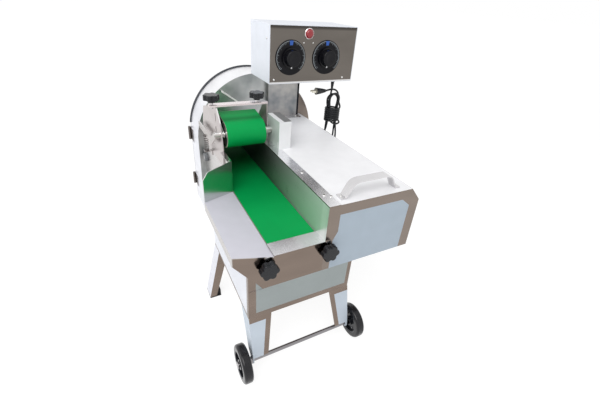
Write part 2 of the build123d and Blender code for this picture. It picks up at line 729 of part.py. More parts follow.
def presser_arm(x0, x1, sleeve0, sleeve1):
    """Three-cornered side arm with a window, and the sleeve that it swings on."""
    arm = loop_plate(ARM_PINS, 0, x0, x1)
    mid_y = sum(pin[0] for pin in ARM_PINS) / len(ARM_PINS)
    mid_z = sum(pin[1] for pin in ARM_PINS) / len(ARM_PINS)
    window = [((y + mid_y) / 2, (z + mid_z) / 2, SPRING_R / 2) for y, z, _ in ARM_PINS]
    arm -= loop_plate(window, 0, x0 - 1, x1 + 1)
    arm += rod_x(sleeve0, sleeve1, PRESS_Y, PRESS_Z, SLEEVE_R)
    for y, z, _ in ARM_PINS:
        arm -= rod_x(min(x0, sleeve0) - 1, max(x1, sleeve1) + 1, y, z, PRESS_SHAFT_R + RUN_CLEAR)
    return arm


def tie_rods():
    """Two rods that hold the arms apart inside the belt."""
    x0 = ARM_GAP + ARM_T
    x1 = TROUGH_W - ARM_GAP - ARM_T
    low = (PRESS_Y + 0.3 * (NIP_Y - PRESS_Y), PRESS_Z + 0.3 * (NIP_Z - PRESS_Z))
    high = (NIP_Y + 0.42 * (IDLER_Y - NIP_Y), NIP_Z + 0.42 * (IDLER_Z - NIP_Z))
    return [rod_x(x0, x1, y, z, TIE_R) for y, z in (low, high)]


def presser_roller(y, z, radius, x0, x1):
    """Roller inside the presser belt, with its shaft from x0 to x1."""
    roller = rod_x(PRESS_BELT_EDGE + 1, TROUGH_W - PRESS_BELT_EDGE - 1, y, z, radius - RUN_CLEAR)
    return chamfer(roller.edges(), 1) + rod_x(x0, x1, y, z, PRESS_SHAFT_R)


def lever_part(y0, z0, y1, z1):
    """Flat strap with round ends between two points."""
    return loop_plate([(y0, z0, LEVER_R), (y1, z1, LEVER_R)], 0, LEVER_X - LEVER_T, LEVER_X)


def presser_lever():
    """Cranked strap outside the trough, clamped on the end of the left arm's sleeve."""
    knee_y = PRESS_Y + LEVER_DROP * 1.4
    lever = lever_part(PRESS_Y, PRESS_Z, knee_y, LEVER_Z) + lever_part(knee_y, LEVER_Z, LEVER_END_Y, LEVER_Z)
    lever -= rod_x(LEVER_X - 5, LEVER_X + 1, PRESS_Y, PRESS_Z, PRESS_SHAFT_R + RUN_CLEAR)
    for y in (knee_y, SPRING_Y, (SPRING_Y + LEVER_END_Y) / 2, LEVER_END_Y):
        lever -= rod_x(LEVER_X - 5, LEVER_X + 1, y, LEVER_Z, TIE_R / 2)
    return lever


def stand_left():
    """Left side plate, bolted flat to the trough's wall; the arm's sleeve turns in it."""
    front = PRESS_Y - STAND_FRONT
    bottom = BELT_TOP + STAND_FOOT_UP
    outline = [(front, bottom), (front, BELT_TOP + STAND_EDGE_UP), (front + STAND_FRONT / 3, PRESS_Z),
               (front + STAND_FRONT * 2 / 3, (PRESS_Z + STAND_TOP) / 2), (CROSSBAR_Y, STAND_TOP),
               (CROSSBAR_Y + STAND_TOP_BACK, STAND_TOP), (STAND_REAR_Y, IDLER_Z),
               (LEVER_END_Y + LEVER_R, LEVER_Z + LEVER_R), (LEVER_END_Y + LEVER_R, bottom)]
    plate = plate_yz(outline, STAND_LEFT_X, -SHEET)
    plate = fillet(plate.edges().filter_by(Axis.X).sort_by(Axis.Z)[-6:], SPRING_R)
    plate -= rod_x(STAND_LEFT_X - 1, 0, PRESS_Y, PRESS_Z, SLEEVE_R + RUN_CLEAR)
    for z in (PRESS_Z - SLOT_L / 2, PRESS_Z + 1.5 * SLOT_L):
        ends = [(IDLER_Y - IDLER_R - 5, z, SLOT_R), (IDLER_Y - IDLER_R - 3, z + SLOT_L, SLOT_R)]
        plate -= loop_plate(ends, 0, STAND_LEFT_X - 1, 0)
    return plate


def stand_right():
    """Right side plate behind the chain cover, which carries the crossbar's other end."""
    outline = [(CROSSBAR_Y, STRIP_TOP), (CROSSBAR_Y, STAND_TOP), (CROSSBAR_Y + STAND_TOP_BACK, STAND_TOP),
               (STAND_RIGHT_BACK, STRIP_TOP + 0.3 * STAND_H), (STAND_RIGHT_BACK, STRIP_TOP)]
    plate = plate_yz(outline, STAND_RIGHT_X, STAND_RIGHT_X + STAND_T)
    foot = box(STAND_RIGHT_X - STAND_FOOT_W, STAND_RIGHT_X, CROSSBAR_Y, STAND_RIGHT_BACK,
               STRIP_TOP, STRIP_TOP + STAND_T)
    return plate + foot


def crossbar():
    """Flat bar across the two side plates, tapped for the presser knobs."""
    bar = box(-CROSSBAR_OUT, STAND_RIGHT_X + STAND_T, CROSSBAR_Y, CROSSBAR_Y + CROSSBAR_D,
              STAND_TOP, STAND_TOP + CROSSBAR_T)
    bar = chamfer(bar.edges().filter_by(Axis.X).group_by(Axis.Z)[-1], 1)
    for x in PRESS_KNOB_XS:
        bar -= rod_z(x, CROSSBAR_Y + CROSSBAR_D / 2, STAND_TOP - 1, STAND_TOP + CROSSBAR_T + 1,
                     TENSION_SCREW_R + RUN_CLEAR)
    return bar


def presser_knob(x):
    """Lobed knob on a screw through the crossbar."""
    y = CROSSBAR_Y + CROSSBAR_D / 2
    top = STAND_TOP + CROSSBAR_T + PRESS_KNOB_STEM
    knob = Pos(x, y, top) * lobed_knob(KNOB_R, KNOB_T, KNOB_HUB_R)
    return knob + rod_z(x, y, STAND_TOP - PRESS_KNOB_STEM, top + 1, TENSION_SCREW_R)


def spring_bracket():
    """Angle bracket on the trough's wall that holds the spring's lower end."""
    z = BRACKET_Z
    y0 = SPRING_Y - BRACKET_W / 2
    y1 = SPRING_Y + BRACKET_W / 2
    ledge = box(LEVER_X - (LEVER_T + BRACKET_W) / 2, -SHEET, y0, y1, z - SHEET, z)
    back = box(-2 * SHEET, -SHEET, y0, y1, z - BRACKET_H, z)
    return ledge + back


def presser_spring():
    """Helical spring between the bracket and the lever, with a flat ring at each end."""
    low = BRACKET_Z
    high = LEVER_Z - LEVER_R - SEAT_GAP
    ring_h = 1.5 * SPRING_WIRE
    rise = high - low - ring_h
    coil = Helix(pitch=rise / SPRING_TURNS, height=rise, radius=SPRING_R)
    start = Plane(origin=coil @ 0, z_dir=coil % 0)
    wire = sweep(start * Circle(SPRING_WIRE / 2), path=coil, is_frenet=True)
    spring = Pos(0, 0, low + ring_h / 2) * wire
    for z in (low, high - ring_h):
        ring = rod_z(0, 0, z, z + ring_h, SPRING_R + SPRING_WIRE)
        spring += ring - rod_z(0, 0, z - 1, z + ring_h + 1, SPRING_R - SPRING_WIRE)
    return Pos(LEVER_X - LEVER_T / 2, SPRING_Y, 0) * spring


# Motor housing, chain drive and motors

def motor_housing():
    """Long folded housing beside the trough; its left side is the trough's right wall."""
    x0 = TROUGH_W
    outer = [(x0, TROUGH_BOTTOM), (HOUSING_R, TROUGH_BOTTOM), (HOUSING_R, HOUSING_TOP - CHAMFER_Z),
             (HOUSING_R - CHAMFER_X, HOUSING_TOP), (x0, HOUSING_TOP)]
    t = SHEET
    inner = [(x0 + t, TROUGH_BOTTOM + t), (HOUSING_R - t, TROUGH_BOTTOM + t),
             (HOUSING_R - t, HOUSING_TOP - CHAMFER_Z - t * 0.4),
             (HOUSING_R - CHAMFER_X - t * 0.4, HOUSING_TOP - t), (x0 + t, HOUSING_TOP - t)]
    shell = plate_xz(outer, 0, PLATE_Y) - plate_xz(inner, t, PLATE_Y + 1)
    shell -= box(x0 - 1, HOUSING_R - CHAMFER_X - t, -1, PLATE_Y + 1, HOUSING_TOP - t, HOUSING_TOP + 1)
    shell -= rod_y(TENSION_XS[1], -1, t + 1, ROLLER_Z, TENSION_SCREW_R + RUN_CLEAR)
    for y in (ROLLER_Y_FRONT, ROLLER_Y_REAR):
        shell -= rod_x(x0 - 1, x0 + t + 1, y, ROLLER_Z, JOURNAL_R + HOLE_CLEAR)
    return shell


def housing_cover():
    """Flat top cover of the housing, with a slot for the presser's chain."""
    cover = box(TROUGH_W, HOUSING_R - CHAMFER_X - SHEET, 0, PLATE_Y, HOUSING_TOP - SHEET, HOUSING_TOP)
    slot_x = SPROCKET_X + SPROCKET_T / 2
    half = SPROCKET_R + CHAIN_BAND + HOLE_CLEAR
    return cover - box(slot_x - SPROCKET_T, slot_x + SPROCKET_T, PRESS_Y - half, PRESS_Y + half,
                       HOUSING_TOP - 2 * SHEET, HOUSING_TOP + 1)


def edge_strip():
    """Screwed strip along the cover's trough edge, notched round the chain cover."""
    strip = box(TROUGH_W, TROUGH_W + STRIP_W, 0, PLATE_Y, HOUSING_TOP, STRIP_TOP)
    y0 = CHAIN_Y - SEAT_GAP
    y1 = CHAIN_Y + CHAIN_D + SEAT_GAP
    return strip - box(CHAIN_X - SEAT_GAP, CHAIN_X + STRIP_W, y0, y1, HOUSING_TOP - 1, STRIP_TOP + 1)


def dome_screw(radius, height):
    """Low domed screw head standing on Z = 0."""
    head = Cylinder(radius, height, align=(Align.CENTER, Align.CENTER, Align.MIN))
    return fillet(head.edges().group_by(Axis.Z)[-1], height * 0.7)


def strip_screws():
    """Screws of the edge strip."""
    spots = [(TROUGH_W + 17, 157), (TROUGH_W + 13, 45), (TROUGH_W + 25, 36), (TROUGH_W + 10, PLATE_Y - 40)]
    return [Pos(x, y, STRIP_TOP) * dome_screw(3.5, 2) for x, y in spots]


def chain_cover():
    """Cover over the presser's chain; its left wall carries the presser shaft."""
    x1 = CHAIN_X + CHAIN_W
    y1 = CHAIN_Y + CHAIN_D
    cover = box(CHAIN_X, x1, CHAIN_Y, y1, HOUSING_TOP, HOUSING_TOP + CHAIN_H)
    cover = fillet(cover.edges().filter_by(Axis.Z), CHAIN_WALL)
    cover -= box(CHAIN_X + CHAIN_WALL, x1 - CHAIN_WALL, CHAIN_Y + CHAIN_WALL, y1 - CHAIN_WALL,
                 HOUSING_TOP - 1, HOUSING_TOP + CHAIN_H - CHAIN_WALL)
    cover += rod_x(CHAIN_X + CHAIN_WALL, CHAIN_X + 3 * CHAIN_WALL, PRESS_Y, PRESS_Z, SLEEVE_R)
    cover -= rod_x(CHAIN_X - 1, CHAIN_X + 4 * CHAIN_WALL, PRESS_Y, PRESS_Z, PRESS_SHAFT_R + RUN_CLEAR)
    slot_y = CHAIN_Y + 2 * CHAIN_WALL
    return cover - box(CHAIN_X - 1, CHAIN_X + CHAIN_WALL + 1, slot_y, slot_y + 2 * CHAIN_WALL,
                       HOUSING_TOP - 1, HOUSING_TOP + CHAIN_H / 4)


def sprocket(y, z, bore):
    """Toothed chain wheel in the chain's plane."""
    root_r = SPROCKET_R - TOOTH_H
    wheel = Cylinder(root_r + 1, SPROCKET_T)
    tooth = Polyline((root_r, -2.4), (SPROCKET_R, -0.9), (SPROCKET_R, 0.9), (root_r, 2.4), close=True)
    solid_tooth = extrude(make_face(tooth), SPROCKET_T / 2, both=True)
    for spot in PolarLocations(0, SPROCKET_TEETH):
        wheel += spot * solid_tooth
    wheel += Cylinder(SPROCKET_HUB_R, SPROCKET_T + 6)
    wheel -= Cylinder(bore, SPROCKET_T + 8)
    return Pos(SPROCKET_X + SPROCKET_T / 2, y, z) * Rot(0, 90, 0) * wheel


def chain_loop(y0, z0, y1, z1):
    """Chain round two sprockets, as one endless band."""
    x = SPROCKET_X + SPROCKET_T / 2
    ends = [(y0, z0, SPROCKET_R + SEAT_GAP), (y1, z1, SPROCKET_R + SEAT_GAP)]
    return belt_loop(ends, CHAIN_BAND, x - SPROCKET_T / 2, x + SPROCKET_T / 2)


def feed_gearbox():
    """Gearbox of the feed drive, with a foot beside it for the motor."""
    x0 = GEARBOX_X
    x1 = x0 + GEARBOX_W
    floor = TROUGH_BOTTOM + SHEET
    case = box(x0, x1, LOWER_Y - GEARBOX_EDGE, BELT_DRIVE_Y + GEARBOX_EDGE, floor, LOWER_Z + GEARBOX_EDGE)
    case = fillet(case.edges().filter_by(Axis.X), GEARBOX_GAP)
    for y in (LOWER_Y, BELT_DRIVE_Y):
        case -= rod_x(x0 - 1, x0 + GEARBOX_W / 2, y, LOWER_Z, JOURNAL_R + RUN_CLEAR)
    y_mid = (LOWER_Y + BELT_DRIVE_Y) / 2
    foot = box(x1, x1 + GEAR_MOTOR_L * 0.7, y_mid - GEAR_MOTOR_R, y_mid + GEAR_MOTOR_R, floor,
               LOWER_Z - GEAR_MOTOR_R)
    return case + foot


def feed_motor():
    """Motor of the feed drive, lying on the gearbox's foot."""
    x0 = GEARBOX_X + GEARBOX_W
    y_mid = (LOWER_Y + BELT_DRIVE_Y) / 2
    body = rod_x(x0, x0 + GEAR_MOTOR_L, y_mid, LOWER_Z, GEAR_MOTOR_R)
    return fillet(body.edges().sort_by(Axis.X)[-1], GEARBOX_GAP)


def drive_sprocket(y):
    """Driving sprocket with its output shaft in the gearbox."""
    shaft = rod_x(SPROCKET_X - 3, GEARBOX_X + GEARBOX_W / 2 - 1, y, LOWER_Z, JOURNAL_R)
    return sprocket(y, LOWER_Z, JOURNAL_R) + shaft


def carry_handle():
    """Flat strap bent into a low bow, with a foot at each end."""
    x0 = HANDLE_X + HANDLE_FOOT
    x1 = HANDLE_X + HANDLE_L - HANDLE_FOOT
    z = HOUSING_TOP

    def bow(inset, radius):
        top = z + HANDLE_RISE - inset
        slope = HANDLE_SLOPE + inset * 0.5
        corners = [(x0 + inset, z), (x0 + slope, top), (x1 - slope, top), (x1 - inset, z)]
        face = make_face(Polyline(*[(x, HANDLE_Y, h) for x, h in corners], close=True)).faces()[0]
        solid = Solid.extrude(face, Vector(0, HANDLE_W, 0))
        return fillet(solid.edges().filter_by(Axis.Y).group_by(Axis.Z)[-1], radius)

    strap = bow(0, HANDLE_BEND) - bow(HANDLE_T, HANDLE_BEND - HANDLE_T)
    for a, b in ((HANDLE_X, x0 + HANDLE_T), (x1 - HANDLE_T, HANDLE_X + HANDLE_L)):
        strap += box(a, b, HANDLE_Y, HANDLE_Y + HANDLE_W, z, z + HANDLE_T)
    return strap


def handle_screws():
    """Screw in each foot of the handle."""
    y = HANDLE_Y + HANDLE_W / 2
    xs = (HANDLE_X + HANDLE_FOOT / 2, HANDLE_X + HANDLE_L - HANDLE_FOOT / 2)
    return [Pos(x, y, HOUSING_TOP + HANDLE_T) * dome_screw(3, 2) for x in xs]


def knife_motor():
    """Finned motor that drives the knife, with a foot under it."""
    y1 = MOTOR_Y + MOTOR_L
    core_r = MOTOR_R - MOTOR_FIN_H
    motor = rod_y(DRUM_X, MOTOR_Y, y1, DRUM_Z, core_r)
    for y in (MOTOR_Y, y1 - MOTOR_END_L):
        motor += rod_y(DRUM_X, y, y + MOTOR_END_L, DRUM_Z, MOTOR_R)
    fin = box(-MOTOR_FIN_T / 2, MOTOR_FIN_T / 2, MOTOR_Y + 1, y1 - 1, core_r - MOTOR_FIN_H, MOTOR_R)
    for i in range(MOTOR_FINS):
        motor += Pos(DRUM_X, 0, DRUM_Z) * Rot(0, 360 / MOTOR_FINS * i, 0) * fin
    half = MOTOR_FOOT_W / 2
    motor += box(DRUM_X - half, DRUM_X + half, MOTOR_Y + MOTOR_END_L, y1 - MOTOR_END_L,
                 TROUGH_BOTTOM + SHEET, DRUM_Z - core_r * 0.8)
    return motor - rod_y(DRUM_X, y1 - SHAFT_IN, y1 + 1, DRUM_Z, SHAFT_R + RUN_CLEAR)


def knife_bearing():
    """Square flanged bearing on the knife plate, inside the housing."""
    flange = Pos(DRUM_X, PLATE_Y - FLANGE_T / 2, DRUM_Z) * Box(FLANGE_W, FLANGE_T, FLANGE_W)
    flange = fillet(flange.edges().filter_by(Axis.Y), FLANGE_T)
    block = flange + rod_y(DRUM_X, PLATE_Y - FLANGE_T - NOSE_L, PLATE_Y - FLANGE_T, DRUM_Z, NOSE_R)
    return block - rod_y(DRUM_X, PLATE_Y - FLANGE_T - NOSE_L - 1, PLATE_Y + 1, DRUM_Z, SHAFT_R + RUN_CLEAR)


# Knife housing

def arch_face(radius, y):
    """Arch-shaped face: a half circle on two straight legs down to the outlet."""
    x0 = DRUM_X - radius
    x1 = DRUM_X + radius
    edges = [
        Edge.make_line((x0, y, DRUM_BOTTOM), (x0, y, DRUM_Z)),
        Edge.make_three_point_arc((x0, y, DRUM_Z), (DRUM_X, y, DRUM_Z + radius), (x1, y, DRUM_Z)),
        Edge.make_line((x1, y, DRUM_Z), (x1, y, DRUM_BOTTOM)),
        Edge.make_line((x1, y, DRUM_BOTTOM), (x0, y, DRUM_BOTTOM)),
    ]
    return Face(Wire(edges))


def arch(radius, y0, y1):
    """Arch-shaped solid from y0 to y1."""
    return Solid.extrude(arch_face(radius, y0), Vector(0, y1 - y0, 0))


def knife_plate():
    """Front plate of the knife housing, with the mouth and the shaft hole."""
    plate = arch(DRUM_R, PLATE_Y, PLATE_Y + SHEET)
    mouth = box(0, TROUGH_W, PLATE_Y - 1, PLATE_Y + SHEET + 1, BELT_TOP - BELT_T, BELT_TOP + MOUTH_H)
    mouth = fillet(mouth.edges().filter_by(Axis.Y), FRAME_SHEET)
    return plate - mouth - rod_y(DRUM_X, PLATE_Y - 1, PLATE_Y + SHEET + 1, DRUM_Z, SHAFT_R + HOLE_CLEAR)


def mouth_guard():
    """Bent deflector above the mouth, running down to the right along its upper edge."""
    z = BELT_TOP + MOUTH_H
    left = GUARD_X + GUARD_LEAN
    right = TROUGH_W - GUARD_LIP
    outline = [(GUARD_X, z + 2), (left, z + GUARD_H), (right, z + GUARD_H_RIGHT), (right, z + 2)]
    sheet = plate_xz(outline, PLATE_Y - SHEET, PLATE_Y)
    lip = [(left, z + GUARD_H), (left + 1, z + GUARD_H + 3), (right + 1, z + GUARD_H_RIGHT + 3),
           (right, z + GUARD_H_RIGHT)]
    return sheet + plate_xz(lip, PLATE_Y - GUARD_LIP, PLATE_Y)


def drum_rim():
    """Rolled rim of the knife housing, open below as the outlet, with a rear flange."""
    y0 = PLATE_Y + SHEET
    band = arch(DRUM_R, y0, GASKET_Y)
    inner = arch(DRUM_R - SHEET, y0 - 1, GASKET_Y - SHEET)
    mouth = arch(DRUM_R - GASKET_W, y0 - 1, GASKET_Y + 1)
    below = box(DRUM_LEFT + SHEET, DRUM_RIGHT - SHEET, y0 - 1, GASKET_Y + 1,
                DRUM_BOTTOM - 1, DRUM_BOTTOM + SHEET)
    return band - inner - mouth - below


def drum_gasket():
    """Rubber seal on the rim's rear flange."""
    ring = arch(DRUM_R, GASKET_Y, LID_Y) - arch(DRUM_R - GASKET_W, GASKET_Y - 1, LID_Y + 1)
    return ring


def lid_panel(inset, y0, y1):
    """Solid in the shape of the lid's pressed panel."""
    panel = arch(DRUM_R - inset, y0, y1)
    return panel - box(DRUM_LEFT, DRUM_RIGHT, y0 - 1, y1 + 1, DRUM_BOTTOM - 1, DRUM_BOTTOM + inset)


def drum_lid():
    """Rear lid of one sheet with a pressed panel that stands out to the rear."""
    lid = arch(DRUM_R, LID_Y + RUN_CLEAR, LID_Y + LID_T)
    panel = lid_panel(PANEL_INSET, LID_Y + LID_T - 0.5, LID_FACE_Y)
    panel = chamfer(panel.edges().group_by(Axis.Y)[-1], 2)
    return lid + panel - lid_panel(PANEL_INSET + 2 * LID_T, LID_Y - 1, LID_Y + PANEL_RISE)


def lid_pull():
    """Round-bar pull on the lid's pressed panel, clear of the turn buttons' sweep."""
    x = DRUM_RIGHT - LID_PULL_IN
    y = LID_FACE_Y
    z0 = DRUM_Z - LID_PULL_HALF
    z1 = DRUM_Z + LID_PULL_HALF
    out = y + LID_PULL_RISE
    path = FilletPolyline((x, y, z0), (x, out, z0), (x, out, z1), (x, y, z1), radius=3 * LID_PULL_R)
    start = Plane(origin=(x, y, z0), z_dir=(0, 1, 0))
    return sweep(start * Circle(LID_PULL_R), path=path)


def hinge_fixed(z):
    """Hinge leaf on the rim with the outer two knuckles."""
    third = HINGE_H / 3
    y0 = GASKET_Y - HINGE_LEAF
    leaf = box(DRUM_LEFT - SHEET, DRUM_LEFT, y0, HINGE_Y, z - HINGE_H / 2, z + HINGE_H / 2)
    leaf -= Pos(DRUM_LEFT, HINGE_Y, z) * Box(4 * SHEET, 2 * (HINGE_Y - GASKET_Y), third + 2 * SEAT_GAP)
    leaf -= rod_z(HINGE_X, HINGE_Y, z - HINGE_H, z + HINGE_H, HINGE_PIN_R + 1)
    for low in (z - HINGE_H / 2, z + third / 2 + SEAT_GAP):
        knuckle = rod_z(HINGE_X, HINGE_Y, low, low + third - SEAT_GAP, HINGE_KNUCKLE_R)
        leaf += knuckle
    return leaf - rod_z(HINGE_X, HINGE_Y, z - HINGE_H, z + HINGE_H, HINGE_PIN_R)


def hinge_moving(z):
    """Hinge leaf on the lid with the middle knuckle."""
    third = HINGE_H / 3
    y = LID_Y + LID_T
    z0 = z - third / 2 + SEAT_GAP
    z1 = z + third / 2 - SEAT_GAP
    leaf = box(HINGE_X, DRUM_LEFT + HINGE_LEAF * 0.8, y, y + SHEET, z0, z1)
    leaf += rod_z(HINGE_X, HINGE_Y, z0, z1, HINGE_KNUCKLE_R)
    return leaf - rod_z(HINGE_X, HINGE_Y, z - HINGE_H, z + HINGE_H, HINGE_PIN_R + RUN_CLEAR)


def hinge_pin(z):
    """Pin through both leaves, with a head."""
    pin = rod_z(HINGE_X, HINGE_Y, z - HINGE_H / 2, z + HINGE_H / 2, HINGE_PIN_R)
    return pin + rod_z(HINGE_X, HINGE_Y, z + HINGE_H / 2, z + HINGE_H / 2 + 2, HINGE_PIN_R + 1.5)


def button_bosses():
    """Welded ears on the rim's right side that carry the turn buttons."""
    half = BUTTON_R + 2
    y0 = GASKET_Y - BUTTON_OUT
    return [box(DRUM_RIGHT, BUTTON_X + half, y0, LID_Y, z - half, z + half) for z in BUTTON_ZS]


def turn_button(z):
    """Lid button, standing upright here; turned a quarter turn it bars the lid."""
    y = LID_Y + RUN_CLEAR
    bar = loop_plate([(0, 0, BUTTON_R), (0, BUTTON_L - 2 * BUTTON_R, BUTTON_R)], 0, 0, BUTTON_T)
    boss_end = LID_FACE_Y + BUTTON_LIFT
    bar = Pos(BUTTON_X, boss_end, z) * Rot(0, 0, 90) * bar
    return bar + rod_y(BUTTON_X, y, boss_end, z, BUTTON_R)


# Knife

def knife_disc():
    """Bladed disc: slots for the slices to pass, a rear hub and three ejector paddles."""
    y1 = DISC_Y + DISC_T
    disc = rod_y(DRUM_X, DISC_Y, y1, DRUM_Z, DISC_R)
    disc = chamfer(disc.edges(), 1)
    disc += rod_y(DRUM_X, y1, y1 + DISC_HUB_L, DRUM_Z, DISC_HUB_R)
    for i in range(BLADES):
        turn = Pos(DRUM_X, 0, DRUM_Z) * Rot(0, 360 / BLADES * i, 0)
        slot = box(BLADE_R0, BLADE_R1 - 4, DISC_Y - 1, y1 + 1, -SLOT_W / 2, SLOT_W / 2)
        slot = fillet(slot.edges().filter_by(Axis.Y), SLOT_W / 2.2)
        paddle = box(BLADE_R0 + 30, BLADE_R1 - 8, y1, y1 + PADDLE_L, SLOT_W, SLOT_W + 3)
        disc -= turn * slot
        disc += turn * paddle
    return disc - rod_y(DRUM_X, DISC_Y - 1, y1 + DISC_HUB_L + 1, DRUM_Z, SHAFT_R)


def blade(i):
    """Slicing blade over one slot: a flat bar with a long bevel and a slightly bowed edge."""
    profile = [(0, 0), (0, BLADE_W), (-BLADE_T * 0.2, BLADE_W), (-BLADE_T, BLADE_W * 0.6), (-BLADE_T, 0)]
    bar = plate_yz(profile, 0, BLADE_R1 - BLADE_R0)
    bar = Pos(BLADE_R0, DISC_Y, -SLOT_W / 2 - BLADE_W * 0.72) * bar
    bow = rod_y(0, DISC_Y - BLADE_T - 1, DISC_Y + 1, 0, BLADE_R1)
    return Pos(DRUM_X, 0, DRUM_Z) * Rot(0, 360 / BLADES * i, 0) * (bar & bow)


def blade_bolts():
    """Bolts that clamp each blade to the disc."""
    bolts = []
    for i in range(BLADES):
        turn = Pos(DRUM_X, 0, DRUM_Z) * Rot(0, 360 / BLADES * i, 0)
        for x in (BLADE_R0 + 20, (BLADE_R0 + BLADE_R1) / 2, BLADE_R1 - 26):
            head = Pos(x, DISC_Y - BLADE_T, -SLOT_W / 2 - BLADE_W * 0.5) * Rot(90, 0, 0) * dome_screw(4, 2)
            bolts.append(turn * head)
    return bolts


def knife_shaft():
    """Shaft from the motor through the bearing to the disc, with a shoulder at the hub."""
    end = DISC_Y + DISC_T + DISC_HUB_L + 10
    shaft = rod_y(DRUM_X, MOTOR_Y + MOTOR_L - SHAFT_IN + HOLE_CLEAR, end, DRUM_Z, SHAFT_R)
    shaft += rod_y(DRUM_X, PLATE_Y + SHEET + 3, DISC_Y, DRUM_Z, SHAFT_R + 5)
    return chamfer(shaft.edges().sort_by(Axis.Y)[-1], 1)


def disc_nut():
    """Domed nut that holds the disc on the shaft."""
    y0 = DISC_Y + DISC_T + DISC_HUB_L
    nut = Pos(DRUM_X, y0, DRUM_Z) * Rot(-90, 0, 0) * extrude(RegularPolygon(SHAFT_R + 8, 6), 14)
    return nut - rod_y(DRUM_X, y0 - 1, y0 + 20, DRUM_Z, SHAFT_R)


# Column and control box

def column():
    """Channel that stands on the housing and carries the control box."""
    x0 = COLUMN_LEFT
    x1 = COLUMN_LEFT + COLUMN_W
    top = HOUSING_TOP + COLUMN_H
    t = FRAME_SHEET
    channel = box(x0, x1, BOX_BACK, PLATE_Y, HOUSING_TOP, top)
    channel -= box(x0 + t, x1 - t, BOX_BACK + t, PLATE_Y + 1, HOUSING_TOP + t, top + 1)
    foot = box(x0, x1, BOX_BACK - COLUMN_FOOT, BOX_BACK, HOUSING_TOP, HOUSING_TOP + t)
    return channel + foot


def column_screws():
    """Screws of the column's foot."""
    y = BOX_BACK - COLUMN_FOOT / 2
    xs = (COLUMN_LEFT + 15, COLUMN_LEFT + COLUMN_W / 2, COLUMN_LEFT + COLUMN_W - 15)
    return [Pos(x, y, HOUSING_TOP + FRAME_SHEET) * dome_screw(4, 2.5) for x in xs]


def control_box():
    """Folded box for the controls, open at the front."""
    shell = box(BOX_LEFT, BOX_RIGHT, BOX_FRONT, BOX_BACK, BOX_BOTTOM, BOX_TOP)
    shell = fillet(shell.edges().filter_by(Axis.Y), BOX_SHEET)
    t = BOX_SHEET
    shell -= box(BOX_LEFT + t, BOX_RIGHT - t, BOX_FRONT - 1, BOX_BACK - t, BOX_BOTTOM + t, BOX_TOP - t)
    return shell - rod_z(GLAND_X, GLAND_Y, BOX_BOTTOM - 1, BOX_BOTTOM + t + 1, CORD_R)


def control_panel():
    """Front panel of the control box, with holes for the dials and the lamp."""
    t = BOX_SHEET
    panel = box(BOX_LEFT + t, BOX_RIGHT - t, BOX_FRONT, BOX_FRONT + t, BOX_BOTTOM + t, BOX_TOP - t)
    for x in DIAL_XS:
        panel -= rod_y(x, BOX_FRONT - 1, BOX_FRONT + t + 1, DIAL_Z, DIAL_SHAFT_R + HOLE_CLEAR)
    return panel - rod_y(LAMP_X, BOX_FRONT - 1, BOX_FRONT + t + 1, LAMP_Z, LAMP_R - 2)


def panel_screws():
    """Screws in the panel's lower corners and in the box's left side."""
    screw = dome_screw(3, 1.8)
    xs = (BOX_LEFT + 14, BOX_RIGHT - 34)
    heads = [Pos(x, BOX_FRONT, BOX_BOTTOM + 12) * Rot(90, 0, 0) * screw for x in xs]
    side = Pos(BOX_LEFT, BOX_FRONT + LAMP_DOWN, BOX_TOP - LAMP_DOWN - 15) * Rot(0, -90, 0) * screw
    return heads + [side]


def dial_plate(x):
    """Round scale plate behind a speed knob."""
    y = BOX_FRONT
    disc = rod_y(x, y - DIAL_T, y, DIAL_Z, DIAL_R)
    disc = chamfer(disc.edges().group_by(Axis.Y)[0], 0.8)
    return disc - rod_y(x, y - DIAL_T - 1, y + 1, DIAL_Z, DIAL_SHAFT_R + HOLE_CLEAR)


def speed_knob(x):
    """Speed knob: fluted skirt, tapered grip with a finger dish, and its shaft."""
    y = BOX_FRONT - DIAL_T - SEAT_GAP
    skirt = Cylinder(DIAL_KNOB_R, DIAL_KNOB_H * 0.3, align=(Align.CENTER, Align.CENTER, Align.MIN))
    grip = Cone(DIAL_KNOB_R * 0.86, DIAL_KNOB_R * 0.76, DIAL_KNOB_H * 0.7,
                align=(Align.CENTER, Align.CENTER, Align.MIN))
    knob = skirt + Pos(0, 0, DIAL_KNOB_H * 0.3) * grip
    knob = fillet(knob.edges().group_by(Axis.Z)[-1], 2.5)
    for spot in PolarLocations(DIAL_KNOB_R * 0.92, 16):
        knob -= spot * Pos(0, 0, DIAL_KNOB_H * 0.65) * Cylinder(2.6, DIAL_KNOB_H * 0.7)
    knob -= Pos(0, 0, DIAL_KNOB_H + DISH_R - DISH_T) * Sphere(DISH_R)
    knob = Pos(x, y, DIAL_Z) * Rot(90, 0, 0) * knob
    return knob + rod_y(x, y - 1, BOX_FRONT + BOX_SHEET + DIAL_SHAFT_IN, DIAL_Z, DIAL_SHAFT_R)


def speed_regulators():
    """Rotary regulators behind the panel, which take the knobs' shafts."""
    cans = []
    for x in DIAL_XS:
        y = BOX_FRONT + BOX_SHEET
        can = rod_y(x, y, y + REGULATOR_L, DIAL_Z, REGULATOR_R)
        can = fillet(can.edges().group_by(Axis.Y)[-1], REGULATOR_R / 7)
        cans.append(can - rod_y(x, y - 1, y + DIAL_SHAFT_IN + 2, DIAL_Z, DIAL_SHAFT_R + RUN_CLEAR))
    return cans


def lamp_bezel():
    """Ring that clamps the lamp in the panel."""
    ring = rod_y(LAMP_X, BOX_FRONT - 3, BOX_FRONT, LAMP_Z, LAMP_R + 3)
    ring = chamfer(ring.edges().group_by(Axis.Y)[0], 1)
    return ring - rod_y(LAMP_X, BOX_FRONT - 4, BOX_FRONT + 1, LAMP_Z, LAMP_R)


